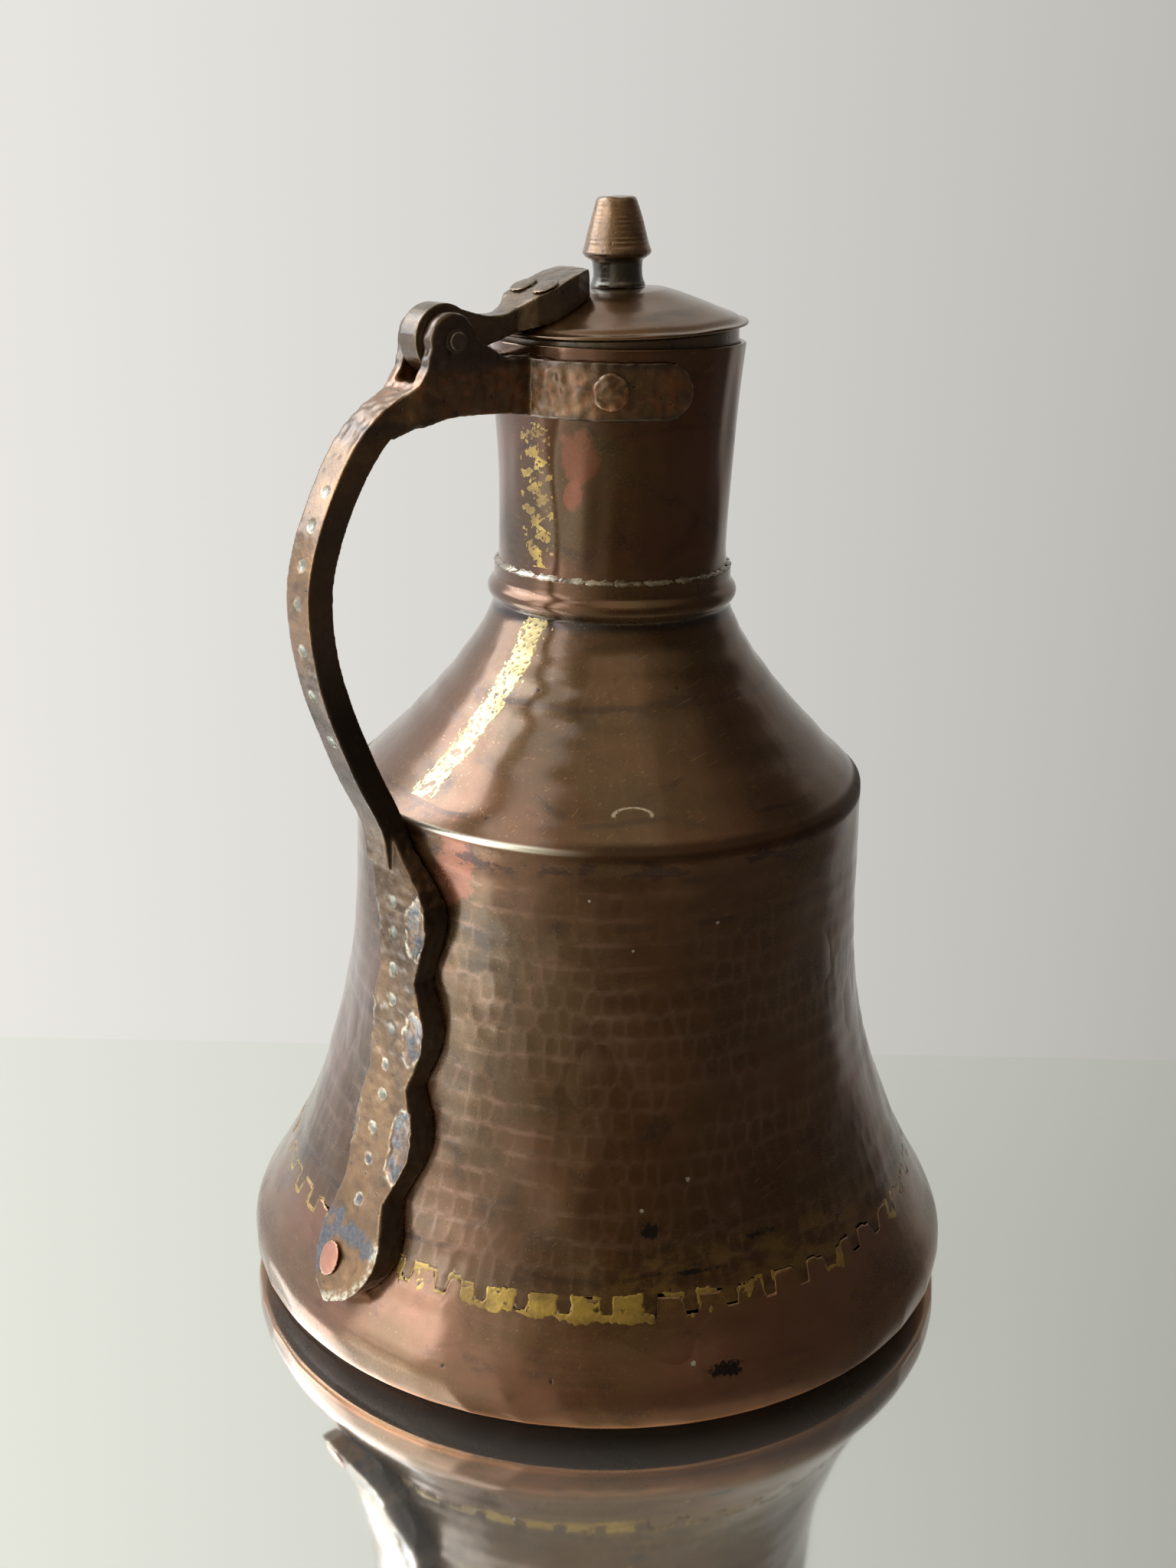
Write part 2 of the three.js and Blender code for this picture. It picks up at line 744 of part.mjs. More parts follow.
function piece(name, geometry, finish) {
  const mesh = new THREE.Mesh(geometry, new THREE.MeshStandardMaterial({ ...finish, metalness: 1 }));
  mesh.name = name;
  return mesh;
}

const ewer = new THREE.Group();
ewer.add(
  piece("base_pan", basePan(), rosyCopper),
  piece("body_shell", bodyShell(), oliveCopper),
  piece("neck_tube", neckTube(), neckCopper),
  piece("handle", handle(), castBronze),
  piece("arm_rivet_near", rivet(armRivet, armRivetPlace(-1)), neckCopper),
  piece("arm_rivet_far", rivet(armRivet, armRivetPlace(1)), neckCopper),
  piece("foot_rivet", rivet(footRivet, footRivetPlace()), brightCopper),
  piece("hinge_pin", hingePin(), darkBronze),
  piece("hinge_washer_near", hingeWasher(-1), darkBronze),
  piece("hinge_washer_far", hingeWasher(1), darkBronze),
);

// The lid turns about the hinge axis, and its pieces are drawn as if it were closed
const lidSwing = new THREE.Group();
lidSwing.position.copy(hinge);
lidSwing.rotation.y = -lidRestAngle * degrees;
const lid = new THREE.Group();
lid.position.copy(hinge).negate();
lid.add(
  piece("lid_cover", lidCover(), lidCopper),
  piece("lid_collar", lidCollar(), darkBronze),
  piece("lid_strap", lidStrap(), darkBronze),
  piece("lid_strap_rivet_near", rivet(strapRivet, strapRivetPlace(-1)), darkBronze),
  piece("lid_strap_rivet_far", rivet(strapRivet, strapRivetPlace(1)), darkBronze),
  piece("lid_knob", lidKnob(), castBronze),
  piece("knob_washer", washerUnderKnob(), brightCopper),
);
lidSwing.add(lid);
ewer.add(lidSwing);

export default ewer;
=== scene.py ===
import math

import bpy
import numpy as np
from mathutils import Matrix, Vector


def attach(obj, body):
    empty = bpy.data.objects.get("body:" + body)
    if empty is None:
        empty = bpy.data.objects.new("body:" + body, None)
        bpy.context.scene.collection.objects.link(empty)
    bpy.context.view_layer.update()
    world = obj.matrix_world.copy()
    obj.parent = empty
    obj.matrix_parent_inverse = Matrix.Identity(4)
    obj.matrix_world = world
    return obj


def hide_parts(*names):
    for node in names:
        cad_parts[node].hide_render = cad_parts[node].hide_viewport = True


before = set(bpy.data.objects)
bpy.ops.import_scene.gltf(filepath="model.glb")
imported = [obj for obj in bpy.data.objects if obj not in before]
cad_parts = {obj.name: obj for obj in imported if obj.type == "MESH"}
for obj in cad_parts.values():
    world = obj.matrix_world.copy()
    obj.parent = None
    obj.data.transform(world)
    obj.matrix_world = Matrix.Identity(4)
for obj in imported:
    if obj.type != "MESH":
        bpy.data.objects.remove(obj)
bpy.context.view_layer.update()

MM = 0.001

# Body
SHEET = 1.5 * MM
HEEL_RADIUS = 148.3 * MM
HEEL_HEIGHT = 12 * MM
TOE_IN = 0.6 * MM
CORNER_RADIUS = 2.2 * MM
HEEL_SWEEP = 9 * MM
WAIST_RADIUS = 101.4 * MM
BELL_HEIGHT = 172 * MM
BELL_POWER = 2.5
RIDGE_HEIGHT = 206 * MM
RIDGE_ROUND = 1.7 * MM
SEAM_HEIGHT = 41 * MM
CONE_HEIGHT = 70 * MM
CONE_POWER = 1.35
BEAD_HEIGHT = 8.5 * MM
BEAD_BULGE = 2.6 * MM
COLLAR_HEIGHT = 6 * MM
COLLAR_RADIUS = 45.9 * MM
NECK_SHEET = 1.3 * MM
NECK_WAIST = 44.1 * MM
NECK_FLARE = 76 * MM
NECK_TUCK = 18 * MM
RIM_RADIUS = 47.7 * MM
RIM_HEIGHT = 374 * MM
CONE_TOP = RIDGE_HEIGHT + CONE_HEIGHT
COLLAR_TOP = CONE_TOP + BEAD_HEIGHT + COLLAR_HEIGHT

# Lid, drawn closed and then turned to where it stands
HINGE = Vector((-81.5 * MM, 0, 377 * MM))
LID_REST_ANGLE = 3
FLANGE_RADIUS = 48.8 * MM
FLANGE_WIDTH = 4.2 * MM
FLANGE_STEP = 2 * MM
LID_SHEET = 1.3 * MM
LID_RISE = 8.6 * MM
BROW_RADIUS = 21.7 * MM
CROWN_RISE = 2.1 * MM
KNOB_FOOT_RADIUS = 10.2 * MM
SEAT_GAP = 0.3 * MM
LID_COLLAR_DEPTH = 8 * MM
LID_COLLAR_INSET = 2 * MM

# The camera stands where the photographer stood
CAMERA_PLACE = Vector((-434.0 * MM, -517.2 * MM, 431.5 * MM))
CAMERA_HEADING = 50.66
CAMERA_DIP = 19.1
CAMERA_ROLL = 1.15
CAMERA_LENS = 40.43

rng = np.random.default_rng(1187)


def unit(value):
    return np.clip(value, 0, 1)


# Mesh making

def in_scene(name, data):
    made = bpy.data.objects.new(name, data)
    bpy.context.scene.collection.objects.link(made)
    return made


def add_object(name, vertices, faces):
    mesh = bpy.data.meshes.new(name)
    mesh.from_pydata([tuple(v) for v in vertices], [], [tuple(int(i) for i in f) for f in faces])
    mesh.validate()
    mesh.shade_smooth()
    return in_scene(name, mesh)


def profile_normals(profile, closed):
    """Unit vectors to the right of the outline's direction, which is the outside of a turned form."""
    if closed:
        along = np.roll(profile, -1, 0) - np.roll(profile, 1, 0)
    else:
        along = np.gradient(profile, axis=0)
    along = along / np.maximum(np.linalg.norm(along, axis=1), 1e-12)[:, None]
    return np.stack([along[:, 1], -along[:, 0]], 1)


def turned(name, profile, segments, relief=None, bend=None):
    """A form turned about Z. The profile runs from axis to axis, or it is a closed loop of radius and height.
    bend(turn, radius, height) gives new radii and heights. relief(turn, radius, height, outward) gives how
    far each point is then moved along its normal."""
    profile = np.asarray(profile, float)
    solid = profile[0, 0] < 1e-7 and profile[-1, 0] < 1e-7
    normals = profile_normals(profile, not solid)
    rings = profile[1:-1] if solid else profile
    normals = normals[1:-1] if solid else normals
    turn = np.linspace(0, 2 * np.pi, segments, endpoint=False)[None, :]
    radius = np.repeat(rings[:, :1], segments, 1)
    height = np.repeat(rings[:, 1:], segments, 1)
    if bend is not None:
        radius, height = bend(turn, radius, height)
    if relief is not None:
        moved = relief(turn, radius, height, normals)
        radius = radius + normals[:, :1] * moved
        height = height + normals[:, 1:] * moved
    points = np.stack([radius * np.cos(turn), radius * np.sin(turn), height], -1).reshape(-1, 3)
    rows = len(rings)
    row = np.arange(rows if not solid else rows - 1)
    i, j = np.meshgrid(row, np.arange(segments), indexing="ij")
    nxt, up = (j + 1) % segments, (i + 1) % rows
    faces = np.stack([i * segments + j, i * segments + nxt, up * segments + nxt, up * segments + j], -1)
    faces = faces.reshape(-1, 4).tolist()
    if solid:
        low, high = len(points), len(points) + 1
        points = np.vstack([points, [0, 0, profile[0, 1]], [0, 0, profile[-1, 1]]])
        last = (rows - 1) * segments
        for a in range(segments):
            b = (a + 1) % segments
            faces.append([low, b, a])
            faces.append([last + a, last + b, high])
    return add_object(name, points, faces)


def piece_points(piece):
    mesh = piece.data
    points = np.empty(len(mesh.vertices) * 3)
    mesh.vertices.foreach_get("co", points)
    normals = np.empty(len(mesh.vertices) * 3)
    mesh.vertex_normals.foreach_get("vector", normals)
    return points.reshape(-1, 3), normals.reshape(-1, 3)


def set_points(piece, points):
    piece.data.vertices.foreach_set("co", points.astype(np.float32).ravel())
    piece.data.update()


def set_mask(piece, label, values):
    mask = piece.data.attributes.new(label, "FLOAT", "POINT")
    mask.data.foreach_set("value", unit(values).astype(np.float32))


def smooth_outline(points, step, round_over):
    """Points along a polyline at an even step, with its corners eased over a distance."""
    points = np.asarray(points, float)
    gaps = np.linalg.norm(np.diff(points, axis=0), axis=1)
    reach = np.concatenate([[0], np.cumsum(gaps)])
    even = np.linspace(0, reach[-1], max(int(reach[-1] / step), 2) + 1)
    line = np.stack([np.interp(even, reach, points[:, k]) for k in (0, 1)], 1)
    width = int(round(round_over / step))
    if width < 1:
        return line
    weights = np.hanning(2 * width + 3)[1:-1]
    weights = weights / weights.sum()
    padded = np.pad(line, ((width, width), (0, 0)), "reflect", reflect_type="odd")
    eased = np.stack([np.convolve(padded[:, k], weights, "valid") for k in (0, 1)], 1)
    eased[0], eased[-1] = line[0], line[-1]
    return eased


def sheet_profile(outside, thickness, inside_step=1):
    """The loop round a sheet: its outside, a round edge, its inside on the way back, and the other edge."""
    normals = profile_normals(outside, False)
    inside = outside - normals * thickness
    middle = (outside + inside) / 2
    arc = np.radians((30, 60, 90, 120, 150))[:, None]
    edges = []
    for end, way in ((-1, 1), (0, -1)):
        along = np.array([-normals[end, 1], normals[end, 0]]) * way
        across = normals[end] * way
        centre = middle[end] - along * thickness / 2
        edges.append(centre + (across * np.cos(arc) + along * np.sin(arc)) * thickness / 2)
    trimmed = outside.copy()
    back = inside.copy()
    for line in (trimmed, back):
        line[0] = line[0] + [normals[0, 1] * -thickness / 2, normals[0, 0] * thickness / 2]
        line[-1] = line[-1] - [normals[-1, 1] * -thickness / 2, normals[-1, 0] * thickness / 2]
    keep = np.unique(np.append(np.arange(0, len(back), inside_step), len(back) - 1))
    return np.vstack([trimmed, edges[0], back[keep][::-1], edges[1]])


# Shapes of the body

def wall_radius(z):
    climbed = unit((z - HEEL_HEIGHT) / BELL_HEIGHT)
    flared = WAIST_RADIUS + (HEEL_RADIUS - WAIST_RADIUS) * (1 - climbed) ** BELL_POWER
    toe = TOE_IN * unit((HEEL_HEIGHT - z) / HEEL_HEIGHT) ** 2
    return flared - toe


def cone_radius(z):
    climbed = unit((z - RIDGE_HEIGHT) / CONE_HEIGHT)
    return COLLAR_RADIUS + (WAIST_RADIUS - COLLAR_RADIUS) * (1 - climbed) ** CONE_POWER


def collar_radius(z):
    swell = unit((z - CONE_TOP) / BEAD_HEIGHT)
    return COLLAR_RADIUS + BEAD_BULGE * np.sin(np.pi * swell) ** 0.8


def neck_radius(z):
    climbed = unit((z - (RIM_HEIGHT - NECK_FLARE)) / NECK_FLARE)
    return NECK_WAIST + (RIM_RADIUS - NECK_WAIST) * climbed ** 2


def vessel_radius(z):
    """The outside of the whole body at a height."""
    return np.where(
        z < RIDGE_HEIGHT,
        wall_radius(z),
        np.where(z < CONE_TOP, cone_radius(z), np.where(z < COLLAR_TOP, collar_radius(z), neck_radius(z))),
    )


# Uneven surfaces

def ring_waves(count, around, along, size):
    """A smooth random field over turn and height, of waves round the body with lengths in millimetres."""
    waves = rng.integers(around[0], around[1] + 1, count)
    climb = 2 * np.pi / rng.uniform(along[0] * MM, along[1] * MM, count) * rng.choice([-1, 1], count)
    phase = rng.uniform(0, 2 * np.pi, count)
    share = size / math.sqrt(count / 2)

    def field(turn, height):
        return sum(np.cos(n * turn + k * height + p) for n, k, p in zip(waves, climb, phase)) * share

    return field


def space_waves(count, lengths, size):
    """A smooth random field over space, of waves in every direction with lengths in millimetres."""
    way = rng.normal(size=(count, 3))
    way = way / np.linalg.norm(way, axis=1)[:, None]
    way = way * (2 * np.pi / rng.uniform(lengths[0] * MM, lengths[1] * MM, count))[:, None]
    phase = rng.uniform(0, 2 * np.pi, count)
    share = size / math.sqrt(count / 2)

    def field(points):
        return sum(np.cos(points @ k + p) for k, p in zip(way, phase)) * share

    return field


def hammer_rows(low, high, row_step, mark_step, tall):
    """Hammer marks in rows round the body. The field gives how far a point lies from the middle of its mark,
    and how much nearer that middle is than the next one, which is nothing on the line between two marks."""
    heights = np.arange(low, high, row_step)
    counts = (2 * np.pi * vessel_radius(heights) / mark_step).astype(int)
    shift = rng.uniform(size=len(heights))
    aside = rng.uniform(-0.38, 0.38, (len(heights), counts.max()))
    rise = rng.uniform(-0.2, 0.2, (len(heights), counts.max())) * row_step

    def field(turn, radius, height):
        turn, radius, height = np.broadcast_arrays(turn, radius, height)
        nearest = np.full(turn.shape, 1.0)
        second = np.full(turn.shape, 1.0)
        for up in (-1, 0, 1):
            row = np.clip(np.round((height - low) / row_step).astype(int) + up, 0, len(heights) - 1)
            count = counts[row]
            place = turn / (2 * np.pi) * count - shift[row]
            for beside in (-1, 0, 1):
                column = np.round(place).astype(int) + beside
                mark = column % count
                across = (place - column - aside[row, mark]) * 2 * np.pi / count * radius
                away = np.hypot(across, (height - heights[row] - rise[row, mark]) * tall)
                second = np.minimum(second, np.maximum(nearest, away))
                nearest = np.minimum(nearest, away)
        return nearest, second - nearest

    return field


# The toothed seam: teeth of the wall hang down between teeth of the pan
TOOTH_COUNT = 52
TOOTH_WIDTH = 6.2 * MM
TOOTH_HEIGHT = 7 * MM
TOOTH_BLEND = 0.5 * MM
SEAM_GAP = 0.3 * MM
TEETH_TOP = 53 * MM
TEETH_FOOT = 30 * MM
seam_round = 2 * math.pi * float(wall_radius(SEAM_HEIGHT))
tooth_width = TOOTH_WIDTH * rng.uniform(0.78, 1.15, TOOTH_COUNT)
tooth_low = SEAM_HEIGHT - TOOTH_HEIGHT / 2 + rng.uniform(-0.3, 1.0, TOOTH_COUNT) * MM
tooth_high = SEAM_HEIGHT + TOOTH_HEIGHT / 2 - rng.uniform(-0.3, 1.4, TOOTH_COUNT) * MM


def tooth_at(turn):
    """The wall's tooth nearest to a turn, and the distance along the seam to its middle."""
    place = turn / (2 * np.pi) * TOOTH_COUNT - 0.5
    nearest = np.round(place)
    return nearest.astype(int) % TOOTH_COUNT, np.abs(place - nearest) * seam_round / TOOTH_COUNT


def seam_line(turn):
    tooth, aside = tooth_at(turn)
    hangs = unit((tooth_width[tooth] / 2 - aside) / TOOTH_BLEND + 0.5)
    return tooth_high[tooth] + (tooth_low[tooth] - tooth_high[tooth]) * hangs


def bent_to_seam(still, gap):
    """Moves the edge at the seam to a gap from the toothed line, and the rest less, up to a still height."""
    def bend(turn, radius, height):
        share = unit((height - still) / (SEAM_HEIGHT - still))
        moved = height + (seam_line(turn) + gap - SEAM_HEIGHT) * share
        return radius + wall_radius(moved) - wall_radius(height), moved

    return bend


# Body pieces

BODY_SEGMENTS = TOOTH_COUNT * 14
dents = ring_waves(26, (2, 10), (60, 260), 0.36 * MM)
ripples = ring_waves(34, (9, 34), (26, 90), 0.1 * MM)
turning_bands = ring_waves(12, (0, 5), (9, 24), 0.05 * MM)
foot_bruises = ring_waves(16, (9, 30), (40, 90), 0.4 * MM)
ROW_STEP = 9.2 * MM
body_marks = hammer_rows(12 * MM, 290 * MM, ROW_STEP, 6.4 * MM, 0.74)
mark_patches = ring_waves(20, (2, 9), (40, 150), 0.4)
MARK_REACH = 4.4 * MM
MARK_RIM = 1.7 * MM
MARK_DEPTH = 0.13 * MM
MARK_STRENGTH = ((4, 30, 48, 150, 188, 203, 250, 274), (0.1, 0.35, 1, 1, 0.4, 0.1, 0.3, 0))


def shape_relief(turn, height):
    """The slow dents of the body, calm at the ridge, at the collar and at the foot."""
    at_ridge = np.clip(np.abs(height - RIDGE_HEIGHT) / (5 * MM), 0.25, 1)
    at_collar = np.clip((CONE_TOP - height) / (10 * MM), 0.1, 1)
    at_foot = unit(height / (24 * MM)) * np.interp(height / MM, (190, 212), (1, 0.2))
    bruises = np.abs(foot_bruises(turn, height)) * np.exp(-height / (8 * MM)) * unit(height / (2.5 * MM))
    return (dents(turn, height) * at_foot + ripples(turn, height) * at_ridge * at_foot) * at_collar - bruises


def mark_share(height):
    """How strong the hammer marks are: strongest low on the wall, faint on the shoulder and the foot."""
    return np.interp(height / MM, *MARK_STRENGTH)


def fine_relief(turn, height):
    """Hammer marks and faint bands from turning."""
    away, _ = body_marks(turn, vessel_radius(height), height)
    marks = MARK_DEPTH * (unit(away / MARK_REACH) ** 2 - 0.5)
    marks = marks * mark_share(height) * np.clip(0.6 + mark_patches(turn, height), 0.15, 1.2)
    calm = unit((CONE_TOP - height) / (10 * MM)) * np.interp(height / MM, (190, 212), (1, 3))
    return marks + turning_bands(turn, height) * calm


def show_marks(piece):
    """Keeps the lines between the hammer marks as a mask on the mesh, where their painted highlights go."""
    points, _ = piece_points(piece)
    turn = np.arctan2(points[:, 1], points[:, 0])
    _, gap = body_marks(turn, np.hypot(points[:, 0], points[:, 1]), points[:, 2])
    set_mask(piece, "mark_rims", (1 - gap / MARK_RIM) * mark_share(points[:, 2]))
    return piece


def outside_only(normals):
    """One on the outside of a sheet and nothing on its inside or its flat ends."""
    return (normals[:, :1] > 0.25).astype(float)


def skin_relief(turn, radius, height, normals):
    return shape_relief(turn, height) + fine_relief(turn, height) * outside_only(normals)


def body_wall():
    bell = [(float(wall_radius(z)), z) for z in np.linspace(SEAM_HEIGHT, RIDGE_HEIGHT, 90)]
    cone = [(float(cone_radius(z)), z) for z in np.linspace(RIDGE_HEIGHT, CONE_TOP, 50)][1:]
    bead = [(float(collar_radius(z)), z) for z in np.linspace(CONE_TOP, CONE_TOP + BEAD_HEIGHT, 24)][1:]
    outline = smooth_outline(bell + cone + bead + [(COLLAR_RADIUS, COLLAR_TOP)], 0.8 * MM, RIDGE_ROUND)
    keep = np.abs(outline[:, 1] - RIDGE_HEIGHT) < 4 * MM
    keep |= outline[:, 1] > CONE_TOP - 4 * MM
    keep |= np.arange(len(outline)) % 2 == 0
    keep[0] = keep[-1] = True
    profile = sheet_profile(outline[keep], SHEET, 4)
    hang_teeth = bent_to_seam(TEETH_TOP, SEAM_GAP / 2)
    return show_marks(turned("body_wall", profile, BODY_SEGMENTS, skin_relief, hang_teeth))


def foot_pan():
    corner = [
        (HEEL_RADIUS - TOE_IN - CORNER_RADIUS * (1 - math.sin(a)), CORNER_RADIUS * (1 - math.cos(a)))
        for a in np.linspace(0, math.pi / 2, 7)
    ]
    bell = [(wall_radius(z), z) for z in np.linspace(CORNER_RADIUS, SEAM_HEIGHT, 24)]
    wall = smooth_outline(bell, 1.2 * MM, HEEL_SWEEP)[1:].tolist()
    flat = [(r, 0) for r in np.linspace(6 * MM, corner[0][0] - 1 * MM, 16)]
    outside = np.array(flat + corner + wall)
    inside = outside - profile_normals(outside, False) * SHEET
    profile = np.vstack([[0, 0], outside, inside[::-1], [0, SHEET]])
    raise_teeth = bent_to_seam(TEETH_FOOT, -SEAM_GAP / 2)
    return show_marks(turned("foot_pan", profile, BODY_SEGMENTS, skin_relief, raise_teeth))


neck_dents = ring_waves(22, (2, 9), (40, 160), 0.22 * MM)
neck_facets = ring_waves(26, (14, 30), (60, 200), 0.07 * MM)


def neck_skin(turn, height):
    held = unit((height - COLLAR_TOP) / (6 * MM))
    return (neck_dents(turn, height) + neck_facets(turn, height)) * held


def neck_relief(turn, radius, height, normals):
    """Dents on the sides only, so that the rim stays level under the lid."""
    return neck_skin(turn, height) * (np.abs(normals[:, 1:]) < 0.5)


def neck_tube():
    low = COLLAR_TOP - NECK_TUCK
    outside = np.array([(float(neck_radius(z)), z) for z in np.linspace(low, RIM_HEIGHT, 62)])
    return turned("neck_tube_hammered", sheet_profile(outside, NECK_SHEET), 256, neck_relief)


# Patches of brazing metal that stand on the body in a thin, uneven layer

def body_point(turn, z, lift):
    """A point over the body's uneven skin: turn in degrees from the handle towards the near side."""
    angle = np.radians(turn)
    below = np.minimum(z, CONE_TOP)
    skin = shape_relief(angle + np.pi, below) + fine_relief(angle + np.pi, below)
    neck = neck_skin(angle + np.pi, z)
    radius = vessel_radius(z) + lift + np.where(z < CONE_TOP, skin, np.where(z > COLLAR_TOP, neck, 0))
    return np.stack([-radius * np.cos(angle), -radius * np.sin(angle), z], -1)


def patch(name, turn, z, thickness, amount):
    """The part of a grid over the body where amount is above nothing, raised, and sunk in along its edge."""
    points = body_point(turn, z, np.clip(amount / 0.5, -1, 1) * thickness)
    columns = amount.shape[1]
    inside = amount > 0
    cell = inside[:-1, :-1] | inside[1:, :-1] | inside[:-1, 1:] | inside[1:, 1:]
    i, j = np.nonzero(cell)
    first = i * columns + j
    corners = np.stack([first, first + 1, first + columns + 1, first + columns], 1)
    used, faces = np.unique(corners, return_inverse=True)
    return add_object(name, points.reshape(-1, 3)[used], faces.reshape(-1, 4))


def grid_noise(across, up, size):
    """Smooth random values over a flat grid, about -1 to 1, with a size in millimetres."""
    total = 0
    for scale, share in ((1, 1), (0.5, 0.55), (0.25, 0.35)):
        for _ in range(5):
            way, phase = rng.uniform(0, 2 * np.pi, 2)
            wave = 2 * np.pi / (size * MM * scale) * rng.uniform(0.75, 1.3)
            total = total + share * np.cos(wave * (across * math.cos(way) + up * math.sin(way)) + phase)
    return total / 3.2


# How much brass covers the seam between the teeth, by degrees from the handle towards the near side
BRASS_COVER = (
    (-180, -60, -20, 12, 17, 22, 30, 52, 60, 75, 100, 180),
    (-1, -0.5, -0.9, -1, 0.2, -0.8, 1.4, 1.4, -0.2, -0.5, -0.6, -1),
)

# How much of the thin line of brass is left, by degrees from the handle to either side
BRASS_LINE = ((20, 50, 70, 180), (0.5, 0.3, -1, -0.6))
SEAM_GRAIN = 0.45 * MM
BRASS_GRAIN = 0.4 * MM


def dovetail_seam():
    """The brass that shows along the toothed seam between the pan and the wall."""
    columns = int(seam_round / SEAM_GRAIN)
    s = np.arange(columns + 1) * seam_round / columns
    z = np.arange(31.5 * MM, 49.5 * MM, SEAM_GRAIN)
    across, up = np.meshgrid(s, z)
    turn = np.degrees(across / seam_round * 2 * np.pi) - 180
    tooth, aside = tooth_at(np.radians(turn) + np.pi)
    half, foot, head = tooth_width[tooth] / 2, tooth_low[tooth], tooth_high[tooth]
    wobble = 0.3 * MM * grid_noise(across, up, 4)
    beyond = np.maximum(np.maximum(foot - up, up - head), 0)
    from_side = np.hypot(aside - half + wobble, beyond)
    from_foot = np.where(aside < half, np.abs(up - foot + wobble), 1)
    from_head = np.where(aside > half, np.abs(up - head + wobble), 1)
    from_line = np.minimum(np.minimum(from_side, from_foot), from_head)
    line = (0.5 * MM + 0.4 * MM * grid_noise(across, up, 9) - from_line) / (0.4 * MM)
    cover = np.interp(turn, *BRASS_COVER) + 0.7 * grid_noise(across, up * 0.3, 22)
    low_edge = foot - 1.6 * MM + 1.1 * MM * grid_noise(across, across * 0, 14)
    high_edge = head - 0.4 * MM + 0.8 * MM * grid_noise(across, across * 0, 11)
    band = np.minimum(up - low_edge, high_edge - up) / (0.8 * MM)
    off_tooth = np.maximum(aside - half, foot - up) / (0.5 * MM)
    flood = np.minimum(np.minimum(cover * 3, band), off_tooth) + 0.25 * grid_noise(across, up, 2.2)
    left = 0.9 * grid_noise(across, up, 30) + np.interp(np.abs(turn), *BRASS_LINE)
    return patch("dovetail_brass", turn, up, 0.12 * MM, np.maximum(np.minimum(line, 1 + left * 2), flood))


def strip_patch(name, turns, heights, width, thickness, fill):
    """A brazed strip that climbs the body from one turn and height to another."""
    low, high = heights
    across, up = np.meshgrid(np.arange(-width, width, BRASS_GRAIN), np.arange(low, high, BRASS_GRAIN))
    turn = np.interp(up, heights, turns) + np.degrees(across / vessel_radius(up))
    return patch(name, turn, up, thickness, fill(across / width, (up - low) / (high - low), across, up))


def shoulder_fill(side, climb, across, up):
    edge = (1 - np.abs(side) * 1.75) * 2.2 + 0.9 * grid_noise(across, up, 3.5)
    islands = np.cos(2 * np.pi * up / (8.4 * MM) + 2.5 * grid_noise(across, up, 30)) - 0.35
    islands = islands - np.abs(side) * 2.2 - climb * 0.9 + 0.5 * grid_noise(across, up, 4)
    pits = grid_noise(across, up, 2.3) - 0.75
    fade = (climb - 0.06) * 9
    return np.minimum(np.minimum(edge, -islands * 1.6), np.minimum(-pits * 2, fade))


def neck_fill(side, climb, across, up):
    blotches = grid_noise(across, up, 7) + 0.5 * grid_noise(across, up, 2.4)
    return (blotches + 0.1 - np.abs(side) * 0.95) * 2.2


def joint_solder():
    """Broken dashes of white solder where the neck stands in the collar."""
    s = np.arange(0, 2 * np.pi * NECK_WAIST, BRASS_GRAIN)
    z = np.arange(COLLAR_TOP - 0.9 * MM, COLLAR_TOP + 1.7 * MM, BRASS_GRAIN)
    across, up = np.meshgrid(s, z)
    dashes = 1.3 * grid_noise(across, up * 0.3, 9) + 0.5 * grid_noise(across, up, 3)
    amount = 0.8 - np.abs(up - COLLAR_TOP - 0.25 * MM) / (0.6 * MM) + dashes
    return patch("neck_joint_solder", np.degrees(across / NECK_WAIST) - 180, up, 0.16 * MM, amount)


# Cast pieces

def recast(name, node, grain, softening):
    """A softened, evenly divided copy of a cast solid."""
    rough = in_scene(name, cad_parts[node].data.copy())
    weld = rough.modifiers.new("weld", "WELD")
    weld.merge_threshold = 0.001 * MM
    skin = rough.modifiers.new("even skin", "REMESH")
    skin.mode = "VOXEL"
    skin.voxel_size = grain
    soft = rough.modifiers.new("soft corners", "SMOOTH")
    soft.factor = 0.5
    soft.iterations = softening
    ready = bpy.data.meshes.new_from_object(rough.evaluated_get(bpy.context.evaluated_depsgraph_get()))
    bpy.data.objects.remove(rough)
    ready.name = name
    ready.materials.clear()
    ready.shade_smooth()
    return in_scene(name, ready)


# Punched dots down the grip and the strap, as (distance towards the near side, height)
GRIP_DOTS = ((1, 330), (0, 318.5), (0, 305.5), (0, 291.5), (0, 273.5), (0, 256.5), (1, 240))
STRAP_DOTS = (
    (6.5, 176.7), (6.2, 164.2), (6.9, 149.9), (7.3, 137.9), (8, 125.9),
    (7.7, 111.7), (8.6, 100.5), (8.3, 86.7), (9.5, 75.5), (11.4, 61),
)

# Scoops cut in the strap's edges: (distance towards the near side, height, half width, half height, depth)
STRAP_SCOOPS = (
    (22, 169, 5.6, 11.5, 1.5), (23.5, 127, 5.6, 10.3, 1.5), (27, 86, 6, 13.4, 1.9),
    (-4, 165, 3, 8, 0.8), (-5.2, 125, 3.4, 9.5, 0.9), (-5, 84, 4.6, 9.6, 0.9),
)

# The edge of the strap's foot that was filed bright, and where solder covers its face, as (distance, height)
FOOT_BEVEL = ((31.6, 49), (33.4, 43), (31.6, 36), (26, 30.4), (19, 26), (11.7, 24), (5, 26.4))
FOOT_SOLDER = ((-2, 48), (6, 49.5), (14, 47.5), (22, 49), (27, 47), (2.6, 42), (1.4, 36), (3, 30))

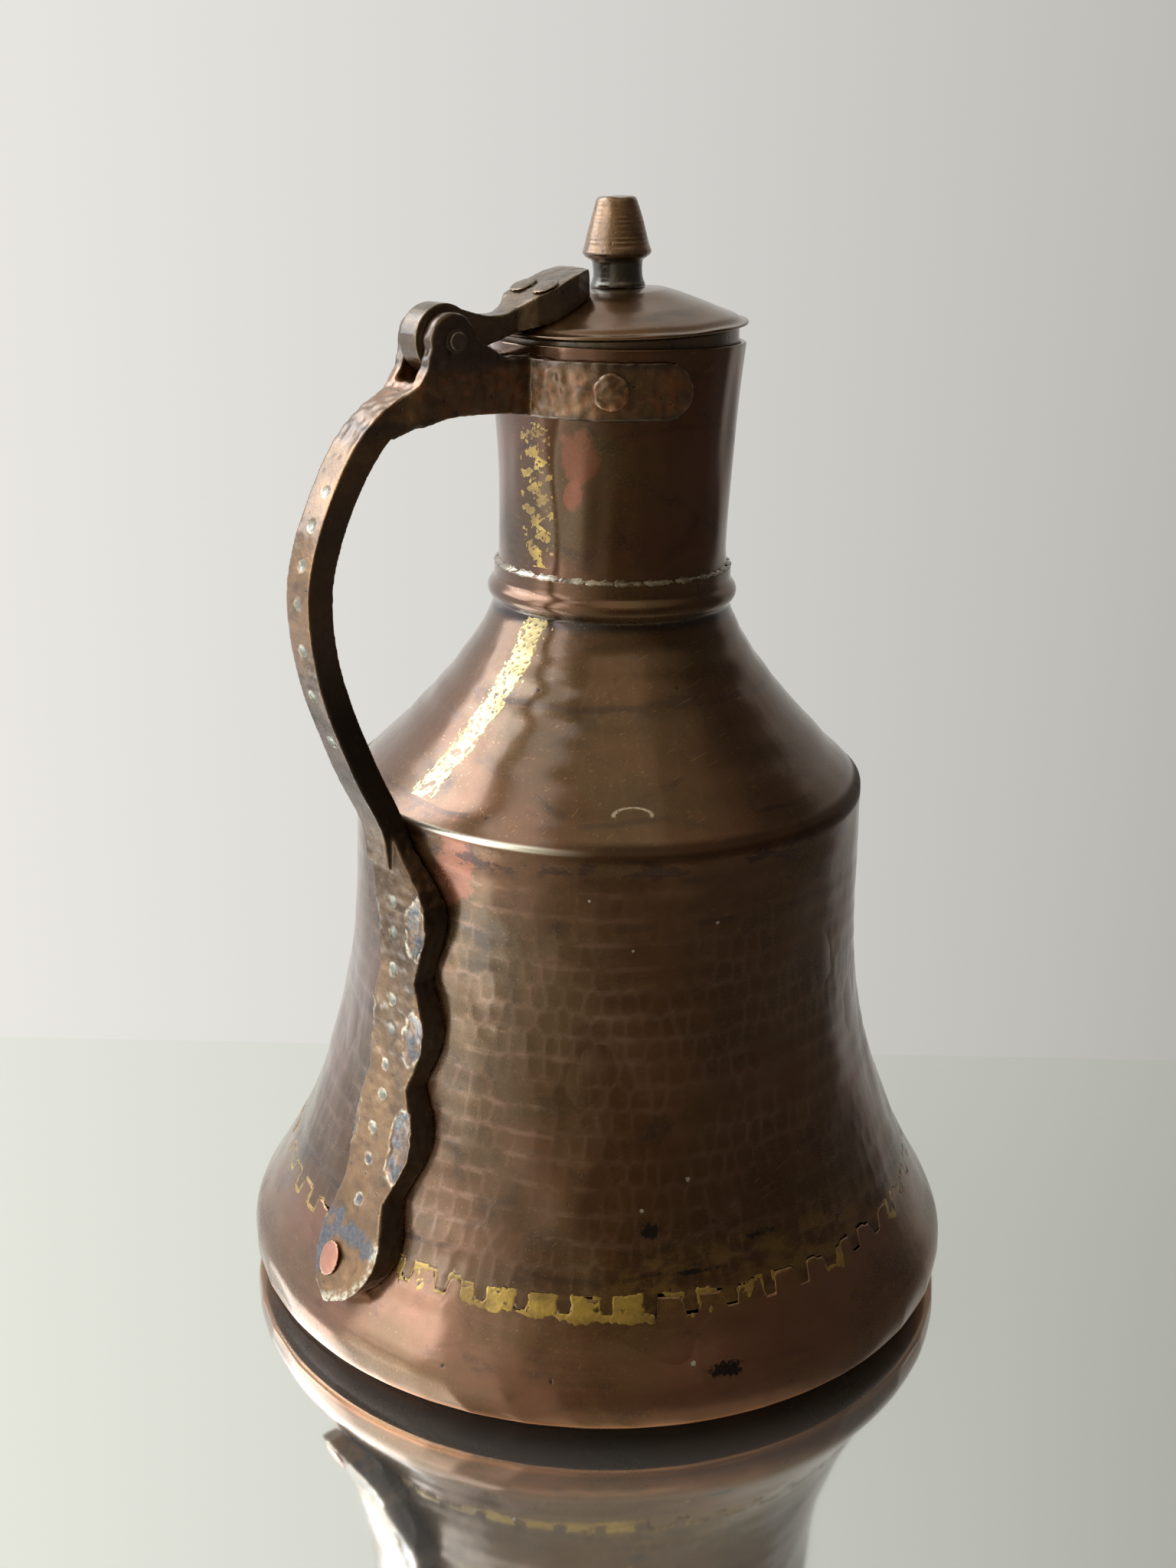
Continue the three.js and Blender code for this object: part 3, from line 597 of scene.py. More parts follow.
# The outer face of the arms is a circle about this point of the X axis
ARM_MIDDLE = -2.74 * MM
ARM_RADIUS = 48.0 * MM
ARM_FOOT = 349.3 * MM

# How rough and lumpy the handle is, by height
STRAP_TOP = 185
LUMPINESS = ((190, 215, 335, 352), (1, 0.45, 0.45, 1.7))


def smooth_arms(points, normals):
    """How far points of the arms' outer face lie off its true circle."""
    from_middle = points[:, :2] - [ARM_MIDDLE, 0]
    away = np.linalg.norm(from_middle, axis=1)[:, None]
    outward = from_middle / np.maximum(away, MM)
    faces_out = unit(((normals[:, :2] * outward).sum(1) - 0.85) / 0.1)
    close = unit((0.8 * MM - np.abs(away[:, 0] - ARM_RADIUS)) / (0.3 * MM))
    share = faces_out * close * (points[:, 2] > ARM_FOOT)
    moved = np.zeros_like(points)
    moved[:, :2] = outward * (ARM_RADIUS - away) * share[:, None]
    return moved


def near_places(points, places, size):
    """How deep in the nearest round place each point lies, from 0 at its rim to 1 in the middle."""
    away = np.min([np.linalg.norm(points - place, axis=1) for place in places], axis=0)
    return unit(1 - away / size)


def outer_face_places(points, dots):
    """The spots on the handle's outer face for dots given as (distance, height)."""
    places = []
    for aside, z in dots:
        close = (np.abs(points[:, 2] - z * MM) < 1.2 * MM) & (np.abs(points[:, 1] + aside * MM) < 1.5 * MM)
        candidates = points[close]
        places.append(candidates[np.argmin(candidates[:, 0])])
    return np.array(places)


def beside_line(aside, height, line, reach):
    """One on a line of (distance, height) points and nothing beyond a reach from it, all in millimetres."""
    share = np.linspace(0, len(line) - 1, 40)
    place = np.array([np.interp(share, range(len(line)), [p[k] for p in line]) for k in (0, 1)]).T
    away = np.hypot(aside[:, None] - place[:, 0], height[:, None] - place[:, 1]).min(1)
    return unit(1 - away / reach)


def cut_scoops(aside, height, ragged):
    """The scoops of the strap: how deep, how much of their floor and how much of their bright rim."""
    depth, floor, rim = (np.zeros(len(aside)) for _ in range(3))
    for at, z, wide, tall, deep in STRAP_SCOOPS:
        off = np.hypot((aside - at) / wide, (height - z) / tall) + 0.2 * ragged
        depth = np.maximum(depth, deep * np.sqrt(unit(1 - off)))
        floor = np.maximum(floor, unit((1 - off) * 8))
        rim = np.maximum(rim, unit(1.1 - np.abs(off - 1.06) * 9))
    return depth * MM, floor, rim * (1 - floor)


def cast_handle():
    piece = recast("cast_handle", "handle", 0.65 * MM, 6)
    points, normals = piece_points(piece)
    aside, height = -points[:, 1] / MM, points[:, 2] / MM
    rough = space_waves(60, (3, 9), 0.07 * MM)
    lumps = space_waves(40, (14, 45), 0.16 * MM)
    ragged = space_waves(50, (3, 12), 0.5)(points)
    outward = unit(-normals[:, 0] * 2.6 - 0.9)
    face = outward * (height < STRAP_TOP)
    dots = outer_face_places(points, GRIP_DOTS + STRAP_DOTS)
    dot_depth = near_places(points, dots, 2.4 * MM)
    around_dots = near_places(points, dots, 3.4 * MM)
    dot_rims = unit(1.1 - np.abs(around_dots - 0.3 - 0.14 * ragged) / 0.11) * outward * (around_dots > 0)
    depth, floor, rim = cut_scoops(aside, height, ragged)
    bevel = beside_line(aside, height, FOOT_BEVEL, 3.2) * unit(-normals[:, 0] * 2 - 0.1)
    from_solder = np.min([np.hypot(aside - at, height - z) for at, z in FOOT_SOLDER], axis=0)
    solder = unit((1.15 - from_solder / 4.2 + 0.5 * ragged) * 3)
    points = points + smooth_arms(points, normals)
    lumpy = np.interp(height, *LUMPINESS)
    moved = (rough(points) + lumps(points)) * lumpy + 0.1 * MM * dot_rims - 0.6 * MM * np.sqrt(dot_depth)
    moved = moved - depth * face * (1 + 0.25 * ragged) + 0.16 * MM * rim * face - 0.5 * MM * bevel
    set_points(piece, points + normals * moved[:, None])
    set_mask(piece, "dots", dot_depth * 2.2)
    set_mask(piece, "scoops", floor * face)
    set_mask(piece, "solder", solder * face)
    set_mask(piece, "bright_rims", np.maximum(np.maximum(rim * face, dot_rims), bevel * 1.3))
    return piece


def lid_strap_casting():
    piece = recast("lid_strap_casting", "lid_strap", 0.5 * MM, 5)
    points, normals = piece_points(piece)
    rough = space_waves(60, (2.4, 7), 0.06 * MM)
    lumps = space_waves(30, (9, 26), 0.12 * MM)
    away = np.hypot(points[:, 0] - HINGE.x, points[:, 2] - HINGE.z)
    free = unit((away - 14 * MM) / (6 * MM))
    set_points(piece, points + normals * ((rough(points) + lumps(points)) * free)[:, None])
    return piece


# Lid pieces

def turn_with_lid(piece):
    """Turns a piece of the closed lid to where the lid stands."""
    there = Matrix.Translation(HINGE)
    piece.data.transform(there @ Matrix.Rotation(math.radians(-LID_REST_ANGLE), 4, "Y") @ there.inverted())
    return piece


lid_dents = ring_waves(20, (1, 7), (20, 90), 0.2 * MM)
lid_bends = ring_waves(14, (3, 12), (50, 100), 0.16 * MM)


def lid_relief(turn, radius, height, normals):
    calm = unit((radius - KNOB_FOOT_RADIUS) / (14 * MM))
    rim = unit((radius - 40 * MM) / (8 * MM))
    moved = calm * lid_dents(turn, radius) + rim * lid_bends(turn, radius)
    over_rim = (normals[:, 1:] < 0) & (radius > 42 * MM)
    return np.where(over_rim, np.minimum(moved, 0), moved)


def lid_cover():
    base = RIM_HEIGHT + SEAT_GAP + LID_SHEET
    foot = FLANGE_RADIUS - FLANGE_WIDTH
    brow = base + FLANGE_STEP + LID_RISE
    corners = [
        (FLANGE_RADIUS - 0.3 * MM, base),
        (foot + 1.4 * MM, base + 0.3 * MM),
        (foot - 0.4 * MM, base + FLANGE_STEP),
        (33 * MM, base + FLANGE_STEP + 4.6 * MM),
        (BROW_RADIUS, brow),
        (BROW_RADIUS - 4 * MM, brow + CROWN_RISE * 0.6),
        (KNOB_FOOT_RADIUS, brow + CROWN_RISE),
        (4.4 * MM, brow + CROWN_RISE),
    ]
    outside = smooth_outline(corners, 0.7 * MM, 1.6 * MM)
    profile = sheet_profile(outside, LID_SHEET, 2)
    return turn_with_lid(turned("lid_cover_spun", profile, 240, lid_relief))


def lid_collar():
    low = RIM_HEIGHT - LID_COLLAR_DEPTH
    radius = float(neck_radius(low)) - LID_COLLAR_INSET
    outside = np.array([(radius, z) for z in np.linspace(low, RIM_HEIGHT, 8)])
    return turn_with_lid(turned("lid_collar_ring", sheet_profile(outside, LID_SHEET), 180))


# The knob's outline from its foot to its top, as (radius, height above the lid)
KNOB_OUTLINE = (
    (10.2, 0.3), (10.1, 1.2), (9.5, 2.2), (9.1, 4), (9, 6), (9.2, 8.6), (9.6, 9.5), (12, 11),
    (12.8, 12), (12.7, 13.2), (12.2, 14.2), (7.6, 30.4), (6.9, 31.4), (6.2, 31.65),
)

# The tang, hammered over a washer inside the lid
KNOB_TANG = 3.2 * MM
WASHER_THICK = 1.2 * MM
TAIL_THICK = 1.6 * MM
TAIL_LIP = 1.8 * MM


def knob():
    crown = RIM_HEIGHT + SEAT_GAP + LID_SHEET + FLANGE_STEP + LID_RISE + CROWN_RISE
    outline = smooth_outline([(r * MM, crown + z * MM) for r, z in KNOB_OUTLINE], 0.35 * MM, 0.5 * MM)
    tail = crown - LID_SHEET - 2 * SEAT_GAP - WASHER_THICK
    under = [
        (0, tail - TAIL_THICK), (KNOB_TANG + 0.6 * MM, tail - TAIL_THICK),
        (KNOB_TANG + TAIL_LIP, tail - TAIL_THICK / 2), (KNOB_TANG + TAIL_LIP, tail),
        (KNOB_TANG, tail), (KNOB_TANG, crown + SEAT_GAP),
    ]
    grooves = ring_waves(9, (0, 2), (1.1, 2.2), 0.03 * MM)
    lumps = ring_waves(10, (1, 6), (8, 30), 0.09 * MM)

    def relief(turn, radius, height, normals):
        shown = (height > crown + 0.5 * MM).astype(float)
        on_cone = (height > crown + 12 * MM).astype(float)
        return shown * (lumps(turn, height) + on_cone * grooves(turn, height))

    top = outline[-1]
    profile = np.vstack([under, outline, [top[0] * 0.5, top[1]], [0, top[1]]])
    return turn_with_lid(turned("lid_knob_turned", profile, 120, relief))


# Fastenings

OVAL = np.array([1, 0.98, 1.25])
BEATEN_FLAT = 0.06 * MM
BEATEN_ROUGH = 0.14 * MM


def recast_rivet(name, node, flats):
    """A rivet hammered by hand: the solid's own form, its head beaten into uneven flats."""
    piece = recast(name, node, 0.35 * MM, 3)
    points, normals = piece_points(piece)
    dings = space_waves(18, (3, 8), flats)
    set_points(piece, points + normals * dings(points)[:, None])
    return piece


def oval_rivet(name, node):
    """A rivet whose head was beaten out taller than it is wide."""
    piece = recast_rivet(name, node, BEATEN_FLAT)
    points, _ = piece_points(piece)
    middle = (points.min(0) + points.max(0)) / 2
    set_points(piece, middle + (points - middle) * OVAL)
    return piece


# Node trees

def ink(*shown):
    """A colour as a screen shows it, 0 to 255, made linear."""
    return tuple(((c / 255 + 0.055) / 1.055) ** 2.4 for c in shown) + (1,)


class Value:
    """What a node puts out. Numbers can be added, taken away, multiplied and divided."""

    def __init__(self, board, socket):
        self.board = board
        self.socket = socket

    def __add__(self, other):
        return self.board.math("ADD", self, other)

    def __sub__(self, other):
        return self.board.math("SUBTRACT", self, other)

    def __rsub__(self, other):
        return self.board.math("SUBTRACT", other, self)

    def __mul__(self, other):
        return self.board.math("MULTIPLY", self, other)

    def __truediv__(self, other):
        return self.board.math("DIVIDE", self, other)

    def __rtruediv__(self, other):
        return self.board.math("DIVIDE", other, self)


class Made:
    """A node whose outputs are values, by name or number."""

    def __init__(self, board, node):
        self.board = board
        self.node = node

    def __getitem__(self, key):
        return Value(self.board, self.node.outputs[key])


class Board:
    """A node tree with short ways to add its nodes."""

    def __init__(self, tree):
        self.tree = tree

    def add(self, kind, inputs=(), **settings):
        node = self.tree.nodes.new("ShaderNode" + kind)
        for key, value in settings.items():
            setattr(node, key, value)
        for key, value in dict(inputs).items():
            if isinstance(value, Value):
                self.tree.links.new(value.socket, node.inputs[key])
            else:
                node.inputs[key].default_value = value
        return Made(self, node)

    def place(self, group, **inputs):
        """A node group placed with its own values, named with _ for each space."""
        named = {label.replace("_", " "): value for label, value in inputs.items()}
        return self.add("Group", named, node_tree=group)

    def math(self, operation, *values):
        return self.add("Math", enumerate(values), operation=operation)[0]

    def length(self, across, up):
        return self.math("SQRT", across * across + up * up)

    def stretch(self, vector, *by):
        return self.add("VectorMath", {0: vector, 1: by}, operation="MULTIPLY")[0]

    def parts(self, vector):
        return self.add("SeparateXYZ", {0: vector})

    def mask(self, label):
        """A mask that is kept on the mesh."""
        return self.add("Attribute", attribute_name=label)["Fac"]

    def ease(self, value, low, high):
        """Nothing below low, one above high, and a smooth rise between."""
        return self.add("MapRange", {0: value, 1: low, 2: high}, interpolation_type="SMOOTHSTEP")[0]

    def between(self, value, low, high, soft):
        """One where a value lies between two limits, eased over a distance."""
        return self.ease(value, low - soft, low + soft) * (1 - self.ease(value, high - soft, high + soft))

    def paint(self, colour, *layers):
        """Colours laid over a first one as (share, colour), the lowest first."""
        for share, over in layers:
            colour = self.add("Mix", {0: share, 6: colour, 7: over}, data_type="RGBA")[2]
        return colour

    def noise(self, vector, size, detail=3, roughness=0.55, bend=0.0):
        return self.add("TexNoise", {
            "Vector": vector, "Scale": 1 / size, "Detail": detail, "Roughness": roughness, "Distortion": bend,
        })[0]

    def blotches(self, vector, size, low, high, detail=3, roughness=0.55):
        """Ragged patches where the noise is above low, solid where it is above high."""
        return self.ease(self.noise(vector, size, detail, roughness), low, high)


def effect(name, recipe, **inputs):
    """A node group with a vector and the named inputs. recipe(board, start) gives its outputs by name."""
    tree = bpy.data.node_groups.new(name, "ShaderNodeTree")
    tree.interface.new_socket("Vector", in_out="INPUT", socket_type="NodeSocketVector")
    for label, value in inputs.items():
        kind = "NodeSocketColor" if isinstance(value, tuple) else "NodeSocketFloat"
        socket = tree.interface.new_socket(label.replace("_", " "), in_out="INPUT", socket_type=kind)
        socket.default_value = value
    board = Board(tree)
    results = recipe(board, Made(board, tree.nodes.new("NodeGroupInput")))
    for label in results:
        kind = "NodeSocketColor" if label == "Color" else "NodeSocketFloat"
        tree.interface.new_socket(label, in_out="OUTPUT", socket_type=kind)
    end = tree.nodes.new("NodeGroupOutput").inputs
    for label, value in results.items():
        tree.links.new(value.socket, end[label])
    return tree


def round_places(board, start):
    """Where a point lies on the body: its turn from the handle in degrees and its height in millimetres."""
    parts = board.parts(start["Vector"])
    turn = board.math("ARCTAN2", parts[1] * -1, parts[0] * -1)
    return {"Turn": turn * (180 / math.pi), "Height": parts[2]}


def patina(board, start):
    """Old copper: clouds of tarnish over the metal, darker stains, and small flecks."""
    flat = board.stretch(start["Vector"], 1, 1, 1.7)
    cover = board.blotches(flat, start["Cloud Size"], 0.36, 0.64, 4, 0.6)
    dark = board.ease(board.noise(flat, start["Stain Size"], 5, 0.65, 0.6), 0.5, 0.72) * start["Stain Amount"]
    flecks = board.blotches(start["Vector"], 2.2, 0.6, 0.75, 2) * 0.16
    layers = (cover, start["Tarnish"]), (dark, start["Stain"]), (flecks, start["Metal"])
    return {"Color": board.paint(start["Metal"], *layers), "Dull": cover * 0.5 + dark}


def surface_wear(board, start):
    """Pits and fine scratches."""
    cloud = board.add("TexNoise", {"Vector": start["Vector"], "Scale": 0.7, "Detail": 2})["Color"]
    sway = board.stretch(cloud, 1.6, 1.6, 1.6)
    wavy = board.add("VectorMath", {0: start["Vector"], 1: sway}, operation="ADD")[0]
    spots = board.add("TexVoronoi", {"Vector": wavy, "Scale": 1 / start["Pit Size"]})
    size = board.add("SeparateColor", {0: spots["Color"]})[1] * start["Pit Share"]
    lines = []
    for turn in (0.4, 1.9):
        swing = {"Vector": start["Vector"], "Axis": (0.3, 0.5, 0.8), "Angle": turn}
        thin = board.stretch(board.add("VectorRotate", swing)[0], 3.2, 0.16, 3.2)
        band = board.add("TexNoise", {"Vector": thin, "Scale": 6 / start["Scratch Size"], "Detail": 1})[0]
        lines.append(board.ease(band, 0.70, 0.74))
    pits = 1 - board.ease(spots["Distance"], size * 0.4, size)
    return {"Pits": pits, "Scratches": board.math("MAXIMUM", *lines)}


def soft_spot(board, start):
    """A ragged spot on the body: one inside it, nothing outside."""
    side = (start["Turn"] - start["At Turn"]) / start["Half Turn"]
    rise = (start["Height"] - start["At Height"]) / start["Half Height"]
    rough = board.noise(start["Vector"], start["Grain"], 3, 0.5)
    pushed = (rough - 0.5) * (start["Ragged"] * 4)
    return {"Mask": 1 - board.ease(board.length(side, rise) + pushed, 0.75, 1.1)}


def edge_wear(board, start):
    """Worn edges, and darkening in the hollows, from how the surface bends."""
    rough = board.noise(start["Vector"], start["Grain"], 3, 0.5)
    moved = board.add("NewGeometry")["Pointiness"] + (rough - 0.5) * start["Sharpness"]
    return {"Worn": board.ease(moved, 0.53, 0.58), "Dirt": 1 - board.ease(moved, 0.42, 0.48)}


WHITE = (1, 1, 1, 1)
PLACES = effect("round places", round_places)
PATINA = effect(
    "patina", patina, Metal=WHITE, Tarnish=WHITE, Stain=WHITE, Cloud_Size=60.0, Stain_Size=22.0,
    Stain_Amount=0.4,
)
WEAR = effect("surface wear", surface_wear, Pit_Size=9.0, Pit_Share=0.12, Scratch_Size=18.0)
SPOT = effect(
    "soft spot", soft_spot, Turn=0.0, Height=0.0, At_Turn=0.0, At_Height=0.0, Half_Turn=5.0, Half_Height=5.0,
    Ragged=0.5, Grain=5.0,
)
EDGES = effect("edge wear", edge_wear, Sharpness=0.06, Grain=2.5)


# Materials

# Dark paint for dirt, pits and grease, also used as painted shade in the crease under the bead
DIRT_AND_SHADE = ink(30, 24, 22)
DIRT_RED = ink(58, 30, 24)
# Painted highlight on the rims of the hammer marks
MARK_HIGHLIGHT = ink(158, 122, 100)
CHALK = ink(226, 218, 196)
HAZE_GOLD = ink(152, 118, 58)
ORANGE_EDGE = ink(214, 140, 84)
RED_COPPER = ink(156, 90, 62)
WORN_GOLD = ink(186, 152, 104)
SOLDER_GREY = ink(172, 170, 158)
SLATE = ink(78, 82, 92)
DOT_GREY = ink(132, 136, 120)
ARM_ORANGE = ink(186, 112, 60)
STEM_GREEN = ink(66, 70, 62)
OCHRE = ink(176, 122, 58)
# Pale worn rims on the strap, and also the painted highlight along the ridge
PALE_RIM_AND_HIGHLIGHT = ink(242, 234, 206)

# The thin glossy skin of oxide and grease
COAT = 0.6
COAT_BEND = 1.8
COAT_ROUGHNESS = 0.17

# Spots as (turn, height, half turn, half height), in degrees and millimetres: bare red copper, dirt, white
# specks, and a crescent that was scratched into the shoulder
RED_SPOTS = ((17, 192, 5, 15), (33, 335, 9, 11), (30, 322, 5, 6), (9, 60, 5, 12))
DARK_SPOTS = (
    (59.5, 65.5, 1.7, 3), (70, 19, 2.6, 2.4), (66, 50.5, 6, 0.9), (60, 47.5, 2.5, 0.8), (80, 58, 3, 1.2),
)
SPECKS = (
    (67, 82, 0.45, 0.9), (58, 73, 0.4, 0.7), (65, 22, 0.4, 0.9), (56, 170, 0.3, 0.5), (74, 178, 0.4, 0.6),
    (47, 189, 0.3, 0.6),
)
CRESCENT = (56, 217, 4.4, 2.3)

# Belts round the body, the handle and the knob, as (lowest, highest, softness) in millimetres of height
RIDGE = RIDGE_HEIGHT / MM
SEAM = SEAM_HEIGHT / MM
CREVICE = CONE_TOP / MM
# Belt of the painted highlights between the hammer rows
ROW_HIGHLIGHT_BELT = (SEAM + 13, RIDGE - 8, 6)
HAZE_BELT = (SEAM - 5, SEAM + 17, 6)
CRACKED_BELT = (RIDGE - 10, RIDGE - 1, 2.5)
# Belt of the painted highlight along the ridge
RIDGE_HIGHLIGHT_BELT = (RIDGE - 0.6, RIDGE + 1.2, 0.5)
# Belt where the ridge is darkened as painted shade and dulled
DULL_SHADED_RIDGE = (RIDGE - 3.2, RIDGE + 3, 1.2)
HEEL_EDGE = (0.4, 2.4, 0.8)
# Belt of painted shade in the crease under the bead
COLLAR_CREVICE_SHADE = (CREVICE - 3.5, CREVICE + 0.5, 1.6)
DARK_GRIP = (148, 264, 20)
GREASY_GRIP = (206, 262, 14)
ARM_GLOW = (351.5, 367, 3)
ARM_SHEEN = (353.5, 370, 1.5)
ARM_BOTTOM = (340, 350)
FORK_BOTTOM = (320, 350)
SLATE_DOTS_TOP = (78, 84)
STEM_TOP = (402, 406)

# Stretches of the body's turn from the handle, in degrees
HAZE_TURNS = (52, 108, 10)
# Turns where the ridge carries its painted highlight
RIDGE_HIGHLIGHT_TURNS = (8, 40, 9)
# Turns beyond which the ridge is darkened as painted shade and dulled
DULL_SHADED_TURN = (32, 52)
# Turns over which those painted highlights fade
ROW_HIGHLIGHT_FADE = (42, 72)


def new_material(name):
    """A material's board, and a place in it given in millimetres."""
    material = bpy.data.materials.new(name)
    material.use_nodes = True
    material.node_tree.nodes.clear()
    board = Board(material.node_tree)
    return material, board, board.stretch(board.add("TexCoord")["Object"], 1000, 1000, 1000)


def finish_metal(board, colour, roughness, height, metallic, coat=COAT):
    """Old metal under its glossy skin."""
    bump = board.add("Bump", {"Strength": 1.0, "Distance": MM, "Height": height})[0]
    shader = board.add("BsdfPrincipled", {
        "Base Color": colour, "Roughness": roughness, "Metallic": metallic, "Normal": bump,
        "Coat Weight": coat, "Coat IOR": COAT_BEND, "Coat Roughness": COAT_ROUGHNESS,
    })
    board.add("OutputMaterial", {0: shader[0]})


def lay_spots(board, here, at, colour, spots, ragged, grain, share, over):
    for turn, height, half_turn, half_height in spots:
        spot = board.place(
            SPOT, Vector=here, Turn=at["Turn"], Height=at["Height"], At_Turn=turn, At_Height=height,
            Half_Turn=half_turn, Half_Height=half_height, Ragged=ragged, Grain=grain,
        )
        colour = board.paint(colour, (spot["Mask"] * share, over))
    return colour


def crescent(board, here, at):
    """The upper half of a thin ring."""
    at_turn, at_height, half_turn, half_height = CRESCENT
    up = (at["Height"] - at_height) / half_height
    away = board.length((at["Turn"] - at_turn) / half_turn, up)
    line = 1 - board.ease(board.math("ABSOLUTE", away - 1), 0.06, 0.16)
    return line * board.ease(up, -0.35, 0.1) * (board.blotches(here, 1.4, 0.36, 0.5, 3, 0.7) * 0.65)


def mark_highlights(board, here, at):
    """Painted highlights on the rims of the hammer marks, and broken painted highlights between their rows
    that grow fainter between 42 and 72 degrees from the handle.
    """
    edges = board.mask("mark_rims") * board.blotches(here, 26, 0.36, 0.6, 4)
    row = board.math("COSINE", (at["Height"] + board.noise(here, 30, 2) * 5) * (2 * math.pi * MM / ROW_STEP))
    row = board.ease(row, 0.5, 0.95) * board.between(at["Height"], *ROW_HIGHLIGHT_BELT)
    broken = board.blotches(board.stretch(here, 1, 1, 2.2), 15, 0.46, 0.62, 5, 0.7)
    return edges, row * (broken * (1 - board.ease(at["Turn"], *ROW_HIGHLIGHT_FADE) * 0.75))


def near_side(board, here, at, colour):
    """What shows on the near side alone: white specks, the crescent and a gold haze by the seam."""
    colour = lay_spots(board, here, at, colour, SPECKS, 0.3, 1, 1, CHALK)
    haze = board.between(at["Height"], *HAZE_BELT) * board.between(at["Turn"], *HAZE_TURNS)
    broken = board.blotches(board.stretch(here, 1, 1, 1.8), 11, 0.42, 0.62, 5, 0.65)
    return board.paint(colour, (crescent(board, here, at), CHALK), (haze * broken * 0.8, HAZE_GOLD))


def body_metal(name, inks, mark_highlight_amount, band_amount, red_spots=(), dark_spots=(), marked=False):
    """The body's sheets, with inks for the metal, its tarnish and its stains, whose ink is also laid on the
    ridge as painted shade.
    """
    metal, tarnish, stain_and_shade = (ink(*shade) for shade in inks)
    material, board, here = new_material(name)
    at = board.place(PLACES, Vector=here)
    skin = board.place(
        PATINA, Vector=here, Metal=metal, Tarnish=tarnish, Stain=stain_and_shade, Cloud_Size=70, Stain_Size=24,
        Stain_Amount=0.6,
    )
    wear = board.place(WEAR, Vector=here, Pit_Size=11, Pit_Share=0.1, Scratch_Size=16)
    streaks = board.blotches(board.stretch(here, 0.5, 0.5, 4), 18, 0.5, 0.66, 4, 0.6)
    colour = board.paint(skin["Color"], (streaks * 0.3, metal))
    # Painted highlights on the hammer marks' rims and between their rows
    if mark_highlight_amount:
        edges, rows = mark_highlights(board, here, at)
        colour = board.paint(colour, (edges * mark_highlight_amount, MARK_HIGHLIGHT), (rows * mark_highlight_amount, MARK_HIGHLIGHT))
    band_height = at["Height"] + board.noise(here, 60, 2) * 14
    bands = board.blotches(board.add("CombineXYZ", {2: band_height})[0], 7, 0.6, 0.68, 1)
    bands = bands * board.blotches(here, 20, 0.42, 0.58)
    colour = board.paint(colour, (bands * band_amount, stain_and_shade))
    colour = lay_spots(board, here, at, colour, red_spots, 0.45, 7, 0.66, RED_COPPER)
    colour = lay_spots(board, here, at, colour, dark_spots, 0.5, 2, 1, DIRT_AND_SHADE)
    if marked:
        colour = near_side(board, here, at, colour)
    cracks = board.blotches(board.stretch(here, 1, 1, 2.6), 16, 0.53, 0.6, 5, 0.7)
    # A painted highlight: a pale line along the ridge, only from 8 to 40 degrees from the handle.
    ridge_highlight = board.between(at["Height"], *RIDGE_HIGHLIGHT_BELT) * board.between(at["Turn"], *RIDGE_HIGHLIGHT_TURNS)
    # Away from the handle the ridge is darkened as painted shade, and is also made rougher and less coated.
    dull_shaded_ridge = board.ease(board.math("ABSOLUTE", at["Turn"]), *DULL_SHADED_TURN)
    dull_shaded_ridge = dull_shaded_ridge * board.between(at["Height"], *DULL_SHADED_RIDGE)
    colour = board.paint(
        colour,
        (board.between(at["Height"], *CRACKED_BELT) * cracks * 0.75, DIRT_RED),
        (ridge_highlight * 0.8, PALE_RIM_AND_HIGHLIGHT),
        (board.between(at["Height"], *HEEL_EDGE) * 0.5, ORANGE_EDGE),
        # Painted shade in the crease under the bead
        (board.between(at["Height"], *COLLAR_CREVICE_SHADE) * 0.75, DIRT_AND_SHADE),
        (wear["Pits"] * 0.85, DIRT_AND_SHADE),
        (wear["Scratches"] * 0.25, WORN_GOLD),
        (dull_shaded_ridge * 0.7, stain_and_shade),
    )
    grain = board.noise(here, 0.8)
    roughness = skin["Dull"] * 0.09 + 0.19 + dull_shaded_ridge * 0.36 + board.ease(grain, 0.35, 0.75) * 0.06
    height = grain * 0.012 - bands * 0.05 - wear["Pits"] * 0.12 - wear["Scratches"] * 0.01
    finish_metal(board, colour, roughness, height, 0.85, (1 - dull_shaded_ridge * 0.8) * COAT)
    return material


def brazing_metal(name, inks, pit_size):
    """Brass or solder that ran into a joint, with inks for the metal and its tarnish."""
    metal, tarnish = (ink(*shade) for shade in inks)
    material, board, here = new_material(name)
    skin = board.place(
        PATINA, Vector=here, Metal=metal, Tarnish=tarnish, Stain=DIRT_AND_SHADE, Cloud_Size=14, Stain_Size=6,
        Stain_Amount=0.35,
    )
    pits = board.place(WEAR, Vector=here, Pit_Size=pit_size, Pit_Share=0.3, Scratch_Size=9)["Pits"]
    colour = board.paint(skin["Color"], (pits * 0.9, DIRT_AND_SHADE))
    height = board.noise(here, 1.4, 4) * 0.12 - pits * 0.15
    finish_metal(board, colour, skin["Dull"] * 0.2 + 0.3, height, 0.75)
    return material


